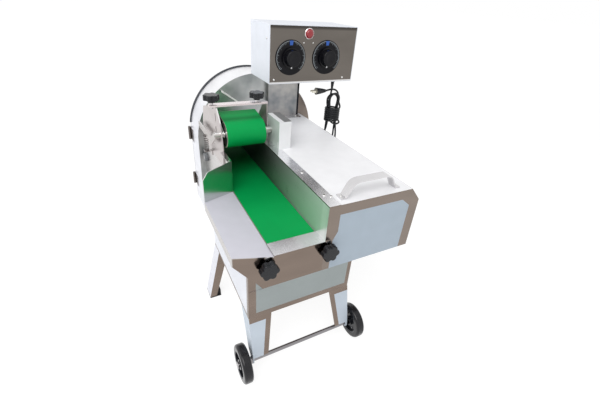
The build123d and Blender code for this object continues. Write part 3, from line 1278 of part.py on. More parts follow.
def lamp_lens():
    """Domed red lens with its body behind the panel."""
    lens = rod_y(LAMP_X, BOX_FRONT - 8, BOX_FRONT, LAMP_Z, LAMP_R)
    lens = fillet(lens.edges().group_by(Axis.Y)[0], 6)
    return lens + rod_y(LAMP_X, BOX_FRONT - 1, BOX_FRONT + 28, LAMP_Z, LAMP_R - 2)


# Cord

def cord_gland():
    """Domed gland under the control box, with its hexagon."""
    base = extrude(RegularPolygon(GLAND_R + 2, 6), GLAND_H * 0.35)
    dome = Cylinder(GLAND_R, GLAND_H * 0.65, align=(Align.CENTER, Align.CENTER, Align.MIN))
    dome = fillet(dome.edges().group_by(Axis.Z)[0], 3)
    gland = Pos(0, 0, GLAND_H * 0.65) * base + dome
    gland -= Pos(0, 0, GLAND_H / 2) * Cylinder(CORD_R, GLAND_H + 2)
    return Pos(GLAND_X, GLAND_Y, GLAND_Z) * gland


def power_cord():
    """Straight lead from inside the box through the gland to the hank."""
    return rod_z(GLAND_X, GLAND_Y, HANK_TOP, BOX_BOTTOM + BOX_SHEET, CORD_R)


def cord_hank():
    """Outer shape of the hanging hank."""
    hank = box(HANK_X - HANK_W / 2, HANK_X + HANK_W / 2, GLAND_Y - HANK_D / 2, GLAND_Y + HANK_D / 2,
               HANK_TOP - HANK_L, HANK_TOP)
    hank = fillet(hank.edges().filter_by(Axis.Z), HANK_ROUND)
    return hank


def plug_lead():
    """Short lead from the hank to the plug."""
    return rod_x(PLUG_X, PLUG_X + PLUG_LEAD, GLAND_Y, PLUG_Z, CORD_R)


def power_plug():
    """Moulded plug: a flat-sided body that tapers to a ribbed neck."""
    neck = Plane(origin=(PLUG_X, GLAND_Y, PLUG_Z), z_dir=(-1, 0, 0))
    face = Plane(origin=(PLUG_X - PLUG_L, GLAND_Y, PLUG_Z), z_dir=(-1, 0, 0))
    shoulder = Plane(origin=(PLUG_X - PLUG_L * 0.55, GLAND_Y, PLUG_Z), z_dir=(-1, 0, 0))
    body = loft([neck * Circle(CORD_R * 1.6), shoulder * Circle(PLUG_R * 0.8), face * Circle(PLUG_R)])
    for i in range(3):
        body -= Pos(PLUG_X - 5 - 4 * i, GLAND_Y, PLUG_Z) * Rot(0, 90, 0) * (
            Cylinder(PLUG_R, 1.2) - Cylinder(CORD_R * 1.45, 1.2))
    return body


def plug_prongs():
    """Two flat pins of the plug."""
    x1 = PLUG_X - PLUG_L
    return [Pos(x1 - PRONG_L / 2, GLAND_Y + side, PLUG_Z) * Box(PRONG_L, 1.6, 6) for side in (-6, 6)]


NODES = {
    "base_cabinet": [base_cabinet() + cabinet_side(), bed_plate(), ballast()],
    "front_legs": [front_leg(BASE_L, 1), front_leg(BASE_R, -1)],
    "rear_legs": [rear_leg(BASE_L, 1), rear_leg(BASE_R, -1)],
    "rubber_feet": [rubber_foot(BASE_L, 1), rubber_foot(BASE_R, -1)],
    "wheel_axle": [axle()] + axle_collars(),
    "wheel_left": [tyre(WHEEL_XS[0]), wheel_rim(WHEEL_XS[0])],
    "wheel_right": [tyre(WHEEL_XS[1]), wheel_rim(WHEEL_XS[1])],
    "trough_frame": trough_frame(),
    "front_panel": front_panel(),
    "side_shelf": side_shelf(),
    "guide_plate": guide_plate(),
    "roller_cover": roller_cover(),
    "feed_belt": feed_belt(),
    "belt_bed": belt_bed(),
    "front_roller": feed_roller(ROLLER_Y_FRONT, TENSION_XS[0] - BLOCK_W / 2, TENSION_XS[1] + BLOCK_W / 2),
    "rear_roller": [feed_roller(ROLLER_Y_REAR, -SHEET - BEARING_T, SPROCKET_END + 6),
                    sprocket(ROLLER_Y_REAR, ROLLER_Z, JOURNAL_R)],
    "bearings": [tension_block(x) for x in TENSION_XS] + tension_guides() + rear_bearings()
                + [knife_bearing()],
    "tension_knob_left": tension_knob(TENSION_XS[0]),
    "tension_knob_right": tension_knob(TENSION_XS[1]),
    "presser_belt": presser_belt(),
    "presser_arms": [presser_arm(ARM_GAP, ARM_GAP + ARM_T, LEVER_X, ARM_GAP),
                     presser_arm(TROUGH_W - ARM_GAP - ARM_T, TROUGH_W - ARM_GAP, TROUGH_W - ARM_GAP,
                                 CHAIN_X - SEAT_GAP), presser_lever()] + tie_rods(),
    "presser_drive_roller": [presser_roller(PRESS_Y, PRESS_Z, PRESS_R, LEVER_X - LEVER_T - 2,
                                            SPROCKET_END + 4),
                             sprocket(PRESS_Y, PRESS_Z, PRESS_SHAFT_R)],
    "presser_idler_roller": presser_roller(IDLER_Y, IDLER_Z, IDLER_R, ARM_GAP - 1, TROUGH_W - ARM_GAP + 1),
    "presser_nip_roller": presser_roller(NIP_Y, NIP_Z, NIP_R, ARM_GAP - 1, TROUGH_W - ARM_GAP + 1),
    "presser_spring": presser_spring(),
    "presser_stands": [stand_left(), spring_bracket(), stand_right()],
    "crossbar": crossbar(),
    "presser_knob_left": presser_knob(PRESS_KNOB_XS[0]),
    "presser_knob_right": presser_knob(PRESS_KNOB_XS[1]),
    "motor_housing": motor_housing(),
    "housing_cover": [housing_cover(), edge_strip()],
    "chain_cover": chain_cover(),
    "feed_gear_motor": [feed_gearbox(), feed_motor()],
    "presser_drive_sprocket": drive_sprocket(LOWER_Y),
    "belt_drive_sprocket": drive_sprocket(BELT_DRIVE_Y),
    "chains": [chain_loop(LOWER_Y, LOWER_Z, PRESS_Y, PRESS_Z),
               chain_loop(BELT_DRIVE_Y, LOWER_Z, ROLLER_Y_REAR, ROLLER_Z)],
    "carry_handle": carry_handle(),
    "knife_motor": knife_motor(),
    "knife_plate": [knife_plate(), mouth_guard()],
    "drum_rim": [drum_rim()] + [hinge_fixed(z) for z in HINGE_ZS] + [hinge_pin(z) for z in HINGE_ZS]
                + button_bosses(),
    "drum_gasket": drum_gasket(),
    "drum_lid": [drum_lid(), lid_pull()] + [hinge_moving(z) for z in HINGE_ZS],
    "turn_button_low": turn_button(BUTTON_ZS[0]),
    "turn_button_high": turn_button(BUTTON_ZS[1]),
    "knife_disc": knife_disc(),
    "slicing_blades": [blade(i) for i in range(BLADES)] + blade_bolts(),
    "knife_shaft": [knife_shaft(), disc_nut()],
    "column": column(),
    "control_box": control_box(),
    "control_panel": control_panel(),
    "dial_plates": [dial_plate(x) for x in DIAL_XS],
    "speed_knob_left": speed_knob(DIAL_XS[0]),
    "speed_knob_right": speed_knob(DIAL_XS[1]),
    "speed_regulators": speed_regulators(),
    "indicator_lamp": [lamp_bezel(), lamp_lens()],
    "screws": strip_screws() + handle_screws() + column_screws() + panel_screws(),
    "cord_gland": cord_gland(),
    "power_cord": [power_cord(), plug_lead()],
    "cord_hank": cord_hank(),
    "power_plug": [power_plug()] + plug_prongs(),
}


def export_node(name, pieces):
    """Write one node: a single piece, or several separate ones together."""
    solids = []
    for piece in pieces if isinstance(pieces, list) else [pieces]:
        solids.extend((ORIGIN * piece).solids())
    export_step(solids[0] if len(solids) == 1 else Compound(children=solids), f"parts/{name}.step")


for node_name, node_pieces in NODES.items():
    export_node(node_name, node_pieces)
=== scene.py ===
import math
from functools import cached_property, partial

import bmesh
import bpy
from mathutils import Matrix, Vector


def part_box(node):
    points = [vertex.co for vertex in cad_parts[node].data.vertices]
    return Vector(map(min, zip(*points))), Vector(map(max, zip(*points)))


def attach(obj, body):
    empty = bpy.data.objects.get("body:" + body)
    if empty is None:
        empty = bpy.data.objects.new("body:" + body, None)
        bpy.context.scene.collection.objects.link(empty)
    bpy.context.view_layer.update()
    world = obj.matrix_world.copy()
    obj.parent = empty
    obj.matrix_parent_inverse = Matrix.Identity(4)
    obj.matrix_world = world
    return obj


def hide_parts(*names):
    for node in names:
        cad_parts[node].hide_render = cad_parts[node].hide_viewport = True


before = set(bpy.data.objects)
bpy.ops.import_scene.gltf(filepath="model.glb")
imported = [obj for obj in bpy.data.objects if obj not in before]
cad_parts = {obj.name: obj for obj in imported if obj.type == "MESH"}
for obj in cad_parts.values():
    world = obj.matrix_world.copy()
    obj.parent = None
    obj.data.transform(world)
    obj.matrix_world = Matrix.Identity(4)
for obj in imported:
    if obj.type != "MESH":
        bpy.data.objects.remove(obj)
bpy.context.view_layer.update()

bl_info = {
    "name": "Vegetable cutter finishes",
    "version": (1, 0, 0),
    "blender": (4, 5, 0),
    "location": "View3D > Sidebar > Cutter",
    "description": "Finishes and small parts for a belt-fed vegetable cutting machine",
    "category": "Object",
}

MM = 0.001

# The machine's own millimetres: X = 0 at the trough's left inner side, Y = 0 at the front panel,
# Z = 0 on the floor.
HOME = Vector((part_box("roller_cover")[0].x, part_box("front_panel")[0].y, 0.0))


def at(x, y, z):
    """A place in the machine's millimetres, as a point in the frame."""
    return HOME + Vector((x, y, z)) * MM


def node_box(name):
    """A CAD node's lowest and highest corners, in the machine's millimetres."""
    low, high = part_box(name)
    return (low - HOME) / MM, (high - HOME) / MM


def node_middle(name):
    """The middle of a CAD node's box, in the machine's millimetres."""
    low, high = node_box(name)
    return (low + high) / 2


RIGHT, BACK, UP = Vector((1, 0, 0)), Vector((0, 1, 0)), Vector((0, 0, 1))
FRONT = -BACK

# The trough's walls stand this much above the belt.
WALL_OVER_BELT = 89.5
BELT_TOP = node_box("trough_frame")[1].z - WALL_OVER_BELT
BOX_LOW = node_box("control_box")[0]
DIAL_LOW, DIAL_HIGH = node_box("dial_plates")
DIAL_R = (DIAL_HIGH.z - DIAL_LOW.z) / 2
DIAL_Z = (DIAL_HIGH.z + DIAL_LOW.z) / 2
DIAL_XS = (DIAL_LOW.x + DIAL_R, DIAL_HIGH.x - DIAL_R)
LAMP = node_middle("indicator_lamp")
HOUSING_LOW, HOUSING_HIGH = node_box("motor_housing")
BASE_LOW, BASE_HIGH = node_box("base_cabinet")
DRUM = node_middle("knife_disc")


# Settings that a user would change

COLOUR = {"subtype": "COLOR", "size": 3, "min": 0, "max": 1}


class SheetSettings(bpy.types.PropertyGroup):
    """Tones of the stainless sheets and of the film left on them."""
    # The bare tones are painted reflection: a dark brown-grey room on upright faces, the bright room on level
    # faces.
    bare: bpy.props.FloatVectorProperty(
        name="Bare steel", description="Upright faces without film",
        default=(0.235, 0.185, 0.155), **COLOUR)
    bare_top: bpy.props.FloatVectorProperty(
        name="Bare steel, top", description="Level faces, which show the bright room",
        default=(0.78, 0.76, 0.78), **COLOUR)
    film: bpy.props.FloatVectorProperty(
        name="Film", description="Blue-white protective film", default=(0.42, 0.50, 0.58), **COLOUR)
    film_pale: bpy.props.FloatVectorProperty(
        name="Pale film", description="Film on the control box", default=(0.80, 0.83, 0.90), **COLOUR)


class BeltSettings(bpy.types.PropertyGroup):
    """Tones of the two belts."""
    green: bpy.props.FloatVectorProperty(
        name="Belt green", description="Belt cover", default=(0.0, 0.345, 0.078), **COLOUR)
    core: bpy.props.FloatVectorProperty(
        name="Belt core", description="Woven core at the belt's cut edges",
        default=(0.45, 0.42, 0.36), **COLOUR)


class ControlSettings(bpy.types.PropertyGroup):
    """Marks and tones of the control panel."""
    # The panel's brown is a painted reflection of the darker room in front of the polished steel.
    panel: bpy.props.FloatVectorProperty(
        name="Panel", description="Brushed panel", default=(0.165, 0.148, 0.132), **COLOUR)
    mark: bpy.props.FloatVectorProperty(
        name="Marks", description="Printed scale marks", default=(0.34, 0.37, 0.39), **COLOUR)
    blue: bpy.props.FloatVectorProperty(
        name="Blue mark", description="Mark at each dial's top", default=(0.02, 0.10, 0.42), **COLOUR)
    steps: bpy.props.IntProperty(
        name="Scale steps", description="Long marks round each dial", default=10, min=2, max=20)
    sweep: bpy.props.FloatProperty(
        name="Scale sweep", description="Angle that the scale covers", default=math.radians(270),
        min=1, max=6.2, unit="ROTATION")


class CordSettings(bpy.types.PropertyGroup):
    """The mains lead."""
    diameter: bpy.props.FloatProperty(
        name="Diameter", description="Of the lead", default=0.006, min=0.004, max=0.012, unit="LENGTH")


class StageSettings(bpy.types.PropertyGroup):
    """Camera, floor and light."""
    lens: bpy.props.FloatProperty(
        name="Lens", description="Focal length for a 36 mm wide picture", default=20.06, min=10, max=200)
    eye: bpy.props.FloatVectorProperty(
        name="Eye", description="Camera's place in the machine's millimetres", size=3,
        default=(-213.6, -470.7, 785.4))
    sky: bpy.props.FloatProperty(
        name="Sky", description="Strength of the room's light", default=0.62, min=0, max=2)
    key: bpy.props.FloatProperty(
        name="Key light", description="Power of the main lamp", default=9.0, min=0, max=500)
    fill: bpy.props.FloatProperty(
        name="Fill light", description="Power of the side lamp", default=4.0, min=0, max=500)


SETTINGS = {"cutter_sheet": SheetSettings, "cutter_belt": BeltSettings, "cutter_control": ControlSettings,
            "cutter_cord": CordSettings, "cutter_stage": StageSettings}


# Shader arithmetic

def arithmetic(operation, reflected=False):
    """An operator of a wire, which adds a Math node; the reflected form has its operands swapped."""
    def apply(wire, other):
        """Adds the node on the wire and the other value."""
        operands = (other, wire) if reflected else (wire, other)
        return wire.math(operation, *operands)
    return apply


class Wire:
    """One output of a node, used in plain arithmetic."""

    def __init__(self, net, socket):
        self.net = net
        self.socket = socket

    def math(self, operation, *operands):
        """Adds a Math node on these operands."""
        return self.net.node("ShaderNodeMath", {"operation": operation}, dict(enumerate(operands)))

    __add__ = __radd__ = arithmetic("ADD")
    __sub__ = arithmetic("SUBTRACT")
    __rsub__ = arithmetic("SUBTRACT", reflected=True)
    __mul__ = __rmul__ = arithmetic("MULTIPLY")
    __truediv__ = arithmetic("DIVIDE")
    __rtruediv__ = arithmetic("DIVIDE", reflected=True)
    __pow__ = arithmetic("POWER")
    __rpow__ = arithmetic("POWER", reflected=True)
    smaller = arithmetic("MINIMUM")
    larger = arithmetic("MAXIMUM")

    def __abs__(self):
        return self.math("ABSOLUTE", self)

    def sine(self):
        """Sine of the value in radians."""
        return self.math("SINE", self)

    def clamped(self):
        """The value kept from 0 to 1."""
        return self.net.node("ShaderNodeClamp", {}, {"Value": self, "Min": 0.0, "Max": 1.0})

    def over(self, edge, soft):
        """1 where the value is above the edge, with a soft step."""
        return ((self - edge) / soft + 0.5).clamped()

    def between(self, low, high, soft):
        """1 where the value lies from low to high."""
        return self.over(low, soft) * (1 - self.over(high, soft))


class Net:
    """A node tree under construction."""

    def __init__(self, tree):
        self.tree = tree

    def node(self, kind, settings, inputs, out=0):
        """Adds a node: its settings first, then the values or links of its sockets.

        Gives a wire from the output that out names, a list of wires if out is a list, and the node
        itself if it has no outputs.
        """
        made = self.tree.nodes.new(kind)
        for key, value in settings.items():
            setattr(made, key, value)
        for key, value in inputs.items():
            self.feed(made.inputs[key], value)
        if not made.outputs:
            return made
        if isinstance(out, list):
            return [Wire(self, made.outputs[key]) for key in out]
        return Wire(self, made.outputs[out])

    def feed(self, socket, value):
        """Links a wire to a socket, or sets its value."""
        if isinstance(value, Wire):
            self.tree.links.new(value.socket, socket)
        elif socket.type == "RGBA" and len(value) == 3:
            socket.default_value = (*value, 1.0)
        else:
            socket.default_value = value

    def open_view(self):
        """1 where the camera looks at the surface, straight, in a reflection or through glass."""
        rays = self.node("ShaderNodeLightPath", {}, {},
                         ["Is Camera Ray", "Is Glossy Ray", "Is Transmission Ray"])
        return (rays[0] + rays[1] + rays[2]).clamped()


# Axis and sign of each way that a surface can face
WAYS = {"left": (0, -1), "right": (0, 1), "front": (1, -1), "rear": (1, 1), "up": (2, 1)}


class Finish(Net):
    """A material under construction: one principled shader and the nodes that feed it."""

    def __init__(self, name):
        self.material = bpy.data.materials.new(name)
        self.material.use_nodes = True
        super().__init__(self.material.node_tree)
        self.tree.nodes.clear()
        self.shader = self.node("ShaderNodeBsdfPrincipled", {}, {})
        self.output = self.node("ShaderNodeOutputMaterial", {}, {"Surface": self.shader})

    def set(self, **values):
        """Feeds the principled shader: base_color becomes Base Color, and so on."""
        sockets = {socket.name.replace(" ", "_").lower(): socket for socket in self.shader.socket.node.inputs}
        for key, value in values.items():
            self.feed(sockets[key], value)
        return self

    def vector(self, operation, first, second):
        """Adds a Vector Math node on two vectors or colours."""
        return self.node("ShaderNodeVectorMath", {"operation": operation}, {0: first, 1: second})

    @cached_property
    def spot(self):
        """The surface's place in the machine's millimetres, as it is at rest."""
        coords = self.node("ShaderNodeTexCoord", {}, {}, "Object")
        return self.vector("MULTIPLY", self.vector("SUBTRACT", coords, HOME), (1 / MM,) * 3)

    @cached_property
    def place(self):
        """X, Y and Z of that place."""
        return self.node("ShaderNodeSeparateXYZ", {}, {0: self.spot}, [0, 1, 2])

    @cached_property
    def facing(self):
        """X, Y and Z of the surface's direction."""
        normal = self.node("ShaderNodeTexCoord", {}, {}, "Normal")
        return self.node("ShaderNodeSeparateXYZ", {}, {0: normal}, [0, 1, 2])

    def faces(self, way, least=0.7):
        """1 where the surface faces left, right, front, rear or up, from this cosine on."""
        axis, sign = WAYS[way]
        return (self.facing[axis] * sign).over(least, 0.1)

    def faces_aside(self):
        """1 where the surface faces left or right."""
        return abs(self.facing[0]).over(0.7, 0.1)

    def radius(self, middle, first, second):
        """Distance from a middle, in millimetres, over two of the axes."""
        place = self.place
        return ((place[first] - middle[first]) ** 2.0 + (place[second] - middle[second]) ** 2.0) ** 0.5

    def stretch(self, scale):
        """The place in millimetres, scaled by a factor on each axis."""
        return self.vector("MULTIPLY", self.spot, scale)

    def noise(self, scale, detail=2.0, rough=0.5, seed=0.0):
        """Noise from 0 to 1, with a scale on each axis, per millimetre."""
        scale = (scale,) * 3 if isinstance(scale, float) else scale
        return self.node("ShaderNodeTexNoise", {"noise_dimensions": "4D"},
                         {"Vector": self.stretch(scale), "W": seed, "Scale": 1.0, "Detail": detail,
                          "Roughness": rough})

    def mix(self, factor, low, high):
        """Colour that goes from low to high with the factor."""
        return self.node("ShaderNodeMix", {"data_type": "RGBA"}, {0: factor, 6: low, 7: high}, 2)

    def shade(self, colour, amount):
        """A colour made lighter or darker by a factor that varies."""
        grey = self.node("ShaderNodeCombineXYZ", {}, {0: amount, 1: amount, 2: amount})
        return self.vector("MULTIPLY", colour, grey)

    def bump(self, height, distance):
        """Feeds a height into the shader's normal."""
        return self.set(normal=self.node("ShaderNodeBump", {},
                                         {"Height": height, "Distance": distance, "Strength": 1.0}))


# Finishes

# Millimetres over which the film's edge fades
FILM_EDGE = 0.6


def brushed(name, colour, along, rough):
    """Turned, ground or brushed metal: long fine streaks and soft smudges."""
    finish = Finish(name)
    streaks = finish.noise(tuple(1.4 if across else 0.03 for across in along), 3.0, 0.6)
    fine = finish.noise(tuple(5.0 if across else 0.06 for across in along), 2.0, 0.7, 3.0)
    smudge = finish.noise(0.016, 3.0, 0.55, 7.0)
    tone = 0.86 + streaks * 0.12 + fine * 0.08 + (smudge - 0.5) * 0.22
    finish.set(base_color=finish.shade(colour, tone), metallic=1.0,
               roughness=rough + (smudge - 0.5) * 0.14 + (streaks - 0.5) * 0.08)
    return finish.bump(streaks * 0.6 + fine * 0.4, 0.00002)


def smooth_sheet(nodes, name, sheet, side=None, top=None, film=None, tone=None, along=(0, 1, 1), rough=0.26,
                 edge=0.0006):
    """Stainless sheet on CAD nodes, bare or partly under film, with its edges rounded by edge.

    film is a function of the finish that gives the film's mask. side, the steel's colour on upright faces,
    and tone, the film's colour, may be such functions too, where the colour changes from place to place.
    """
    finish = Finish(name)
    side = side(finish) if callable(side) else side or sheet.bare
    tone = tone(finish) if callable(tone) else tone or sheet.film
    streaks = finish.noise(tuple(1.6 if across else 0.025 for across in along), 3.0, 0.6)
    smudge = finish.noise(0.014, 3.0, 0.55, 7.0)
    blur = finish.noise((0.006, 0.006, 0.02), 2.0, 0.5, 11.0)
    # Painted reflection: level faces take the pale top tone and upright faces the darker side tone.
    steel = finish.mix(finish.facing[2].over(0.6, 0.3), side, top or sheet.bare_top)
    steel = finish.shade(steel, 0.84 + streaks * 0.14 + smudge * 0.12 + (blur - 0.5) * 0.34)
    metallic = 1.0
    roughness = rough + (smudge - 0.5) * 0.12 + (streaks - 0.5) * 0.1
    height = streaks * 0.05
    if film:
        cover = film(finish)
        wrinkle = finish.noise(0.03, 4.0, 0.5, 5.0)
        film_tone = finish.shade(tone, 0.95 + (wrinkle - 0.5) * 0.12 + (blur - 0.5) * 0.1)
        steel = finish.mix(cover, steel, film_tone)
        metallic = 1 - cover * 0.92
        roughness = roughness + cover * 0.2
        height = height + cover * (0.5 + (wrinkle - 0.5) * 0.6)
    finish.set(base_color=steel, metallic=metallic, roughness=roughness)
    finish.bump(height, 0.0002)
    dress(nodes, finish, edge)


def moulded(name, colour, rough=0.3, grain=0.00004, coat=0.0, shine=0.5):
    """Moulded plastic or rubber with a fine grain."""
    finish = Finish(name)
    cloud = finish.noise(0.05, 2.0, 0.5, 4.0)
    finish.set(base_color=finish.shade(colour, 0.8 + cloud * 0.4), roughness=rough + (cloud - 0.5) * 0.15,
               coat_weight=coat, coat_roughness=0.12, specular_ior_level=shine)
    return finish.bump(finish.noise(1.6, 3.0, 0.6), grain)


def dress(nodes, finish, edge=0.0):
    """Puts a finish on CAD nodes, and rounds their sharp edges by edge, so that they catch the light."""
    for name in [nodes] if isinstance(nodes, str) else nodes:
        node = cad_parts[name]
        node.data.materials.clear()
        node.data.materials.append(finish.material)
        if edge:
            bevel = node.modifiers.new("edges", "BEVEL")
            bevel.width = edge
            bevel.segments = 2
            bevel.limit_method = "ANGLE"
            bevel.angle_limit = math.radians(35)
            bevel.harden_normals = False


# Mesh helpers

def add_mesh(name, build, finish, body, smooth=False):
    """Makes a piece with a function that fills a bmesh, and lets it ride on a body."""
    mesh = bpy.data.meshes.new(name)
    bm = bmesh.new()
    build(bm)
    bmesh.ops.recalc_face_normals(bm, faces=bm.faces[:])
    bm.to_mesh(mesh)
    bm.free()
    for face in mesh.polygons:
        face.use_smooth = smooth
    if smooth:
        mesh.set_sharp_from_angle(angle=math.radians(35))
    piece = bpy.data.objects.new(name, mesh)
    bpy.context.scene.collection.objects.link(piece)
    mesh.materials.append(finish.material)
    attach(piece, body)
    return piece


def add_prism(bm, outline, centre, right, up, out, depth):
    """Adds a flat piece: an outline in millimetres on two directions, with a thickness along out."""
    base = [bm.verts.new(centre + (right * a + up * b) * MM) for a, b in outline]
    lifted = [bm.verts.new(v.co + out * depth * MM) for v in base]
    bm.faces.new(base)
    bm.faces.new(lifted[::-1])
    join_rings(bm, base, lifted)


def add_plate(bm, outline, spot, depth):
    """Adds a flat piece that stands upright and faces the front."""
    add_prism(bm, outline, spot, RIGHT, UP, FRONT, depth)


def join_rings(bm, ring, after):
    """Adds the band of faces between two closed rings with as many points."""
    for i in range(len(ring)):
        j = (i + 1) % len(ring)
        bm.faces.new((ring[i], ring[j], after[j], after[i]))


def arc_outline(inner, outer, start, end, steps):
    """Outline of a ring sector, in millimetres, with angles from straight up, clockwise."""
    angles = [start + (end - start) * i / steps for i in range(steps + 1)]
    points = [(outer * math.sin(a), outer * math.cos(a)) for a in angles]
    return points + [(inner * math.sin(a), inner * math.cos(a)) for a in reversed(angles)]


# Motor housing

HOUSING_BORDER = 28
LEFT_BORDER = 30
FILM_TOP = BELT_TOP + 66
CORNER_FROM = BELT_TOP + 46
CORNER_SLOPE = 1.25
SLANT_TOP = BELT_TOP + 22
SLANT_HIGH = 22
SLANT_WIDE = 11


def housing_front_film(finish):
    """Film on the housing's front: it slants outwards at its lower left and inwards at its upper right."""
    x, _, z = finish.place
    left = HOUSING_LOW.x + LEFT_BORDER - ((SLANT_TOP - z) / SLANT_HIGH).clamped() * SLANT_WIDE
    border = HOUSING_HIGH.x - HOUSING_BORDER
    right = (border - (z - CORNER_FROM) * CORNER_SLOPE).smaller(border)
    return finish.faces("front") * x.between(left, right, FILM_EDGE) * (1 - z.over(FILM_TOP, FILM_EDGE))


def housing_film(finish):
    """Film on the housing's front and all over its outer side and slope, and a partial layer beside the belt
    that carries the painted reflection and shade.
    """
    x, y, _ = finish.place
    outer = finish.faces("right", 0.4) * x.over(HOUSING_HIGH.x - 40, 1.0) * y.over(20.0, FILM_EDGE)
    return housing_front_film(finish).larger(outer).larger(finish.faces("left") * 0.42)


def housing_side(finish):
    """Bare steel of the housing, brown-grey as painted reflection; the wall beside the belt carries a painted
    reflection of the green belt, pale at the front with a near-white band, and painted shade that darkens it
    towards the rear.
    """
    y = finish.place[1]
    wall = finish.mix(((y - 40) / 330).clamped(), (0.62, 0.66, 0.62), (0.10, 0.11, 0.105))
    wall = finish.mix(y.between(6, 26, 8) * 0.6, wall, (0.9, 0.9, 0.88))
    return finish.mix(finish.faces("left"), (0.26, 0.215, 0.185), wall)


def cover_film(finish):
    """Film all over the cover's top but for a strip beside the belt."""
    return finish.faces("up", 0.5) * finish.place[0].over(HOUSING_LOW.x + HOUSING_BORDER, FILM_EDGE)


def chain_cover_tone(finish):
    """The chain cover's film: a painted green-grey reflection of the belt on the face beside it, near white
    in front, dark on most of the top.
    """
    strip = node_box("chain_cover")[0].x + 14
    pale = finish.mix(finish.faces("left"), (0.84, 0.85, 0.86), (0.50, 0.58, 0.53))
    return finish.mix(finish.faces("up") * finish.place[0].over(strip, 1.0), pale, (0.20, 0.20, 0.20))


class CUTTER_OT_housing(bpy.types.Operator):
    """Finishes the motor housing, its cover and the chain cover."""
    bl_idname = "cutter.housing"
    bl_label = "Motor housing"

    def execute(self, context):
        sheet = context.scene.cutter_sheet

        def tone(finish):
            """The film's blue-white, and over the wall beside the belt a painted green-grey reflection of the
            belt, with painted shade that darkens it towards the rear.
            """
            depth = ((finish.place[1] - 30) / 300).clamped()
            belt_reflection_and_shade = finish.mix(depth, (0.62, 0.70, 0.64), (0.015, 0.03, 0.02))
            return finish.mix(finish.faces("left"), sheet.film, belt_reflection_and_shade)

        smooth_sheet("motor_housing", "housing steel", sheet, side=housing_side, film=housing_film, tone=tone,
                     rough=0.22)
        # The cover's top tone and the chain cover's side tone are painted reflection, as in smooth_sheet.
        smooth_sheet("housing_cover", "cover film", sheet, top=(0.93, 0.93, 0.95), film=cover_film,
                     tone=(0.95, 0.95, 0.97))
        smooth_sheet("chain_cover", "chain cover steel", sheet, side=(0.62, 0.6, 0.6), rough=0.24,
                     film=lambda finish: 1 - finish.faces("rear", 0.5), tone=chain_cover_tone)
        return {"FINISHED"}


# Feed trough

class CUTTER_OT_trough(bpy.types.Operator):
    """Finishes the trough, its shelf, guide plate, front panel and roller cover."""
    bl_idname = "cutter.trough"
    bl_label = "Feed trough"

    def execute(self, context):
        sheet = context.scene.cutter_sheet
        # The side and top tones given to these sheets are painted reflection, as in smooth_sheet.
        smooth_sheet("trough_frame", "trough steel", sheet, side=(0.6, 0.58, 0.57), rough=0.24)
        smooth_sheet("front_panel", "front panel steel", sheet, rough=0.16)
        smooth_sheet("side_shelf", "shelf steel", sheet, side=(0.55, 0.53, 0.52), along=(1, 0, 1),
                     film=lambda finish: finish.faces("up", 0.5), tone=(0.72, 0.71, 0.79))
        smooth_sheet("guide_plate", "guide steel", sheet, side=(0.72, 0.74, 0.74), top=(0.9, 0.9, 0.9),
                     rough=0.2)
        smooth_sheet("roller_cover", "roller cover steel", sheet, top=(0.86, 0.85, 0.88), along=(1, 0, 1))
        smooth_sheet("belt_bed", "belt bed steel", sheet, edge=0.0)
        steel = brushed("tension clip steel", (0.7, 0.7, 0.7), (1, 0, 1), 0.2)
        add_mesh("tension_clips", self.clips, steel, "machine")
        return {"FINISHED"}

    def clips(self, bm):
        """Small clips on the front panel, just above the two tension knobs."""
        half, high, corner, thick = 6, 7, 2, 2.0
        foot = BELT_TOP - 3
        outline = [(-half, 0), (half, 0), (half, high - corner), (half - corner, high),
                   (corner - half, high), (-half, high - corner)]
        for knob in ("tension_knob_left", "tension_knob_right"):
            add_plate(bm, outline, at(node_middle(knob).x, 0, foot), thick)


# Base and legs

LEG_WIDE = 41
LEG_BORDER = 3
LEG_BARE_TOP = 12
FRONT_LEG_SLOPE = 0.14
REAR_LEG_SLOPE = 0.22


def cabinet_film(finish):
    """Film on the cabinet's front and left side, inside a bare border."""
    left, right, below, side_below, side_front = 17, 12, 15, 7, 12
    x, y, z = finish.place
    front = finish.faces("front") * x.between(BASE_LOW.x + left, BASE_HIGH.x - right, FILM_EDGE)
    front = front * z.over(BASE_LOW.z + below, FILM_EDGE)
    side = z.over(BASE_LOW.z + side_below, FILM_EDGE) * y.over(BASE_LOW.y + side_front, FILM_EDGE)
    return front.larger(finish.faces("left") * side)


def cabinet_tone(finish):
    """The one film in two tones: painted shade makes it grey-green in front, painted light makes it pale on
    the left side.
    """
    return finish.mix(finish.faces("left"), (0.33, 0.37, 0.37), (0.78, 0.80, 0.86))


def front_leg_film(finish):
    """Film on the outer parts of the front legs' fronts, and on their sides."""
    x, _, z = finish.place
    reach = (BASE_LOW.z - z) * FRONT_LEG_SLOPE
    bare = x.between(BASE_LOW.x + LEG_WIDE - reach, BASE_HIGH.x - LEG_WIDE + reach, FILM_EDGE)
    front = finish.faces("front", 0.6) * (1 - z.over(BASE_LOW.z - LEG_BARE_TOP, FILM_EDGE)) * (1 - bare)
    inside = x.between(BASE_LOW.x + LEG_BORDER, BASE_HIGH.x - LEG_BORDER, FILM_EDGE)
    return front.larger(finish.faces_aside() * (1 - inside))


def rear_leg_film(finish):
    """Film on the outer sides of the rear legs, which splay more than the front ones."""
    x, _, z = finish.place
    reach = (BASE_LOW.z - z) * REAR_LEG_SLOPE
    inside = x.between(BASE_LOW.x + LEG_BORDER - reach, BASE_HIGH.x - LEG_BORDER + reach, FILM_EDGE)
    return finish.faces_aside() * (1 - inside)


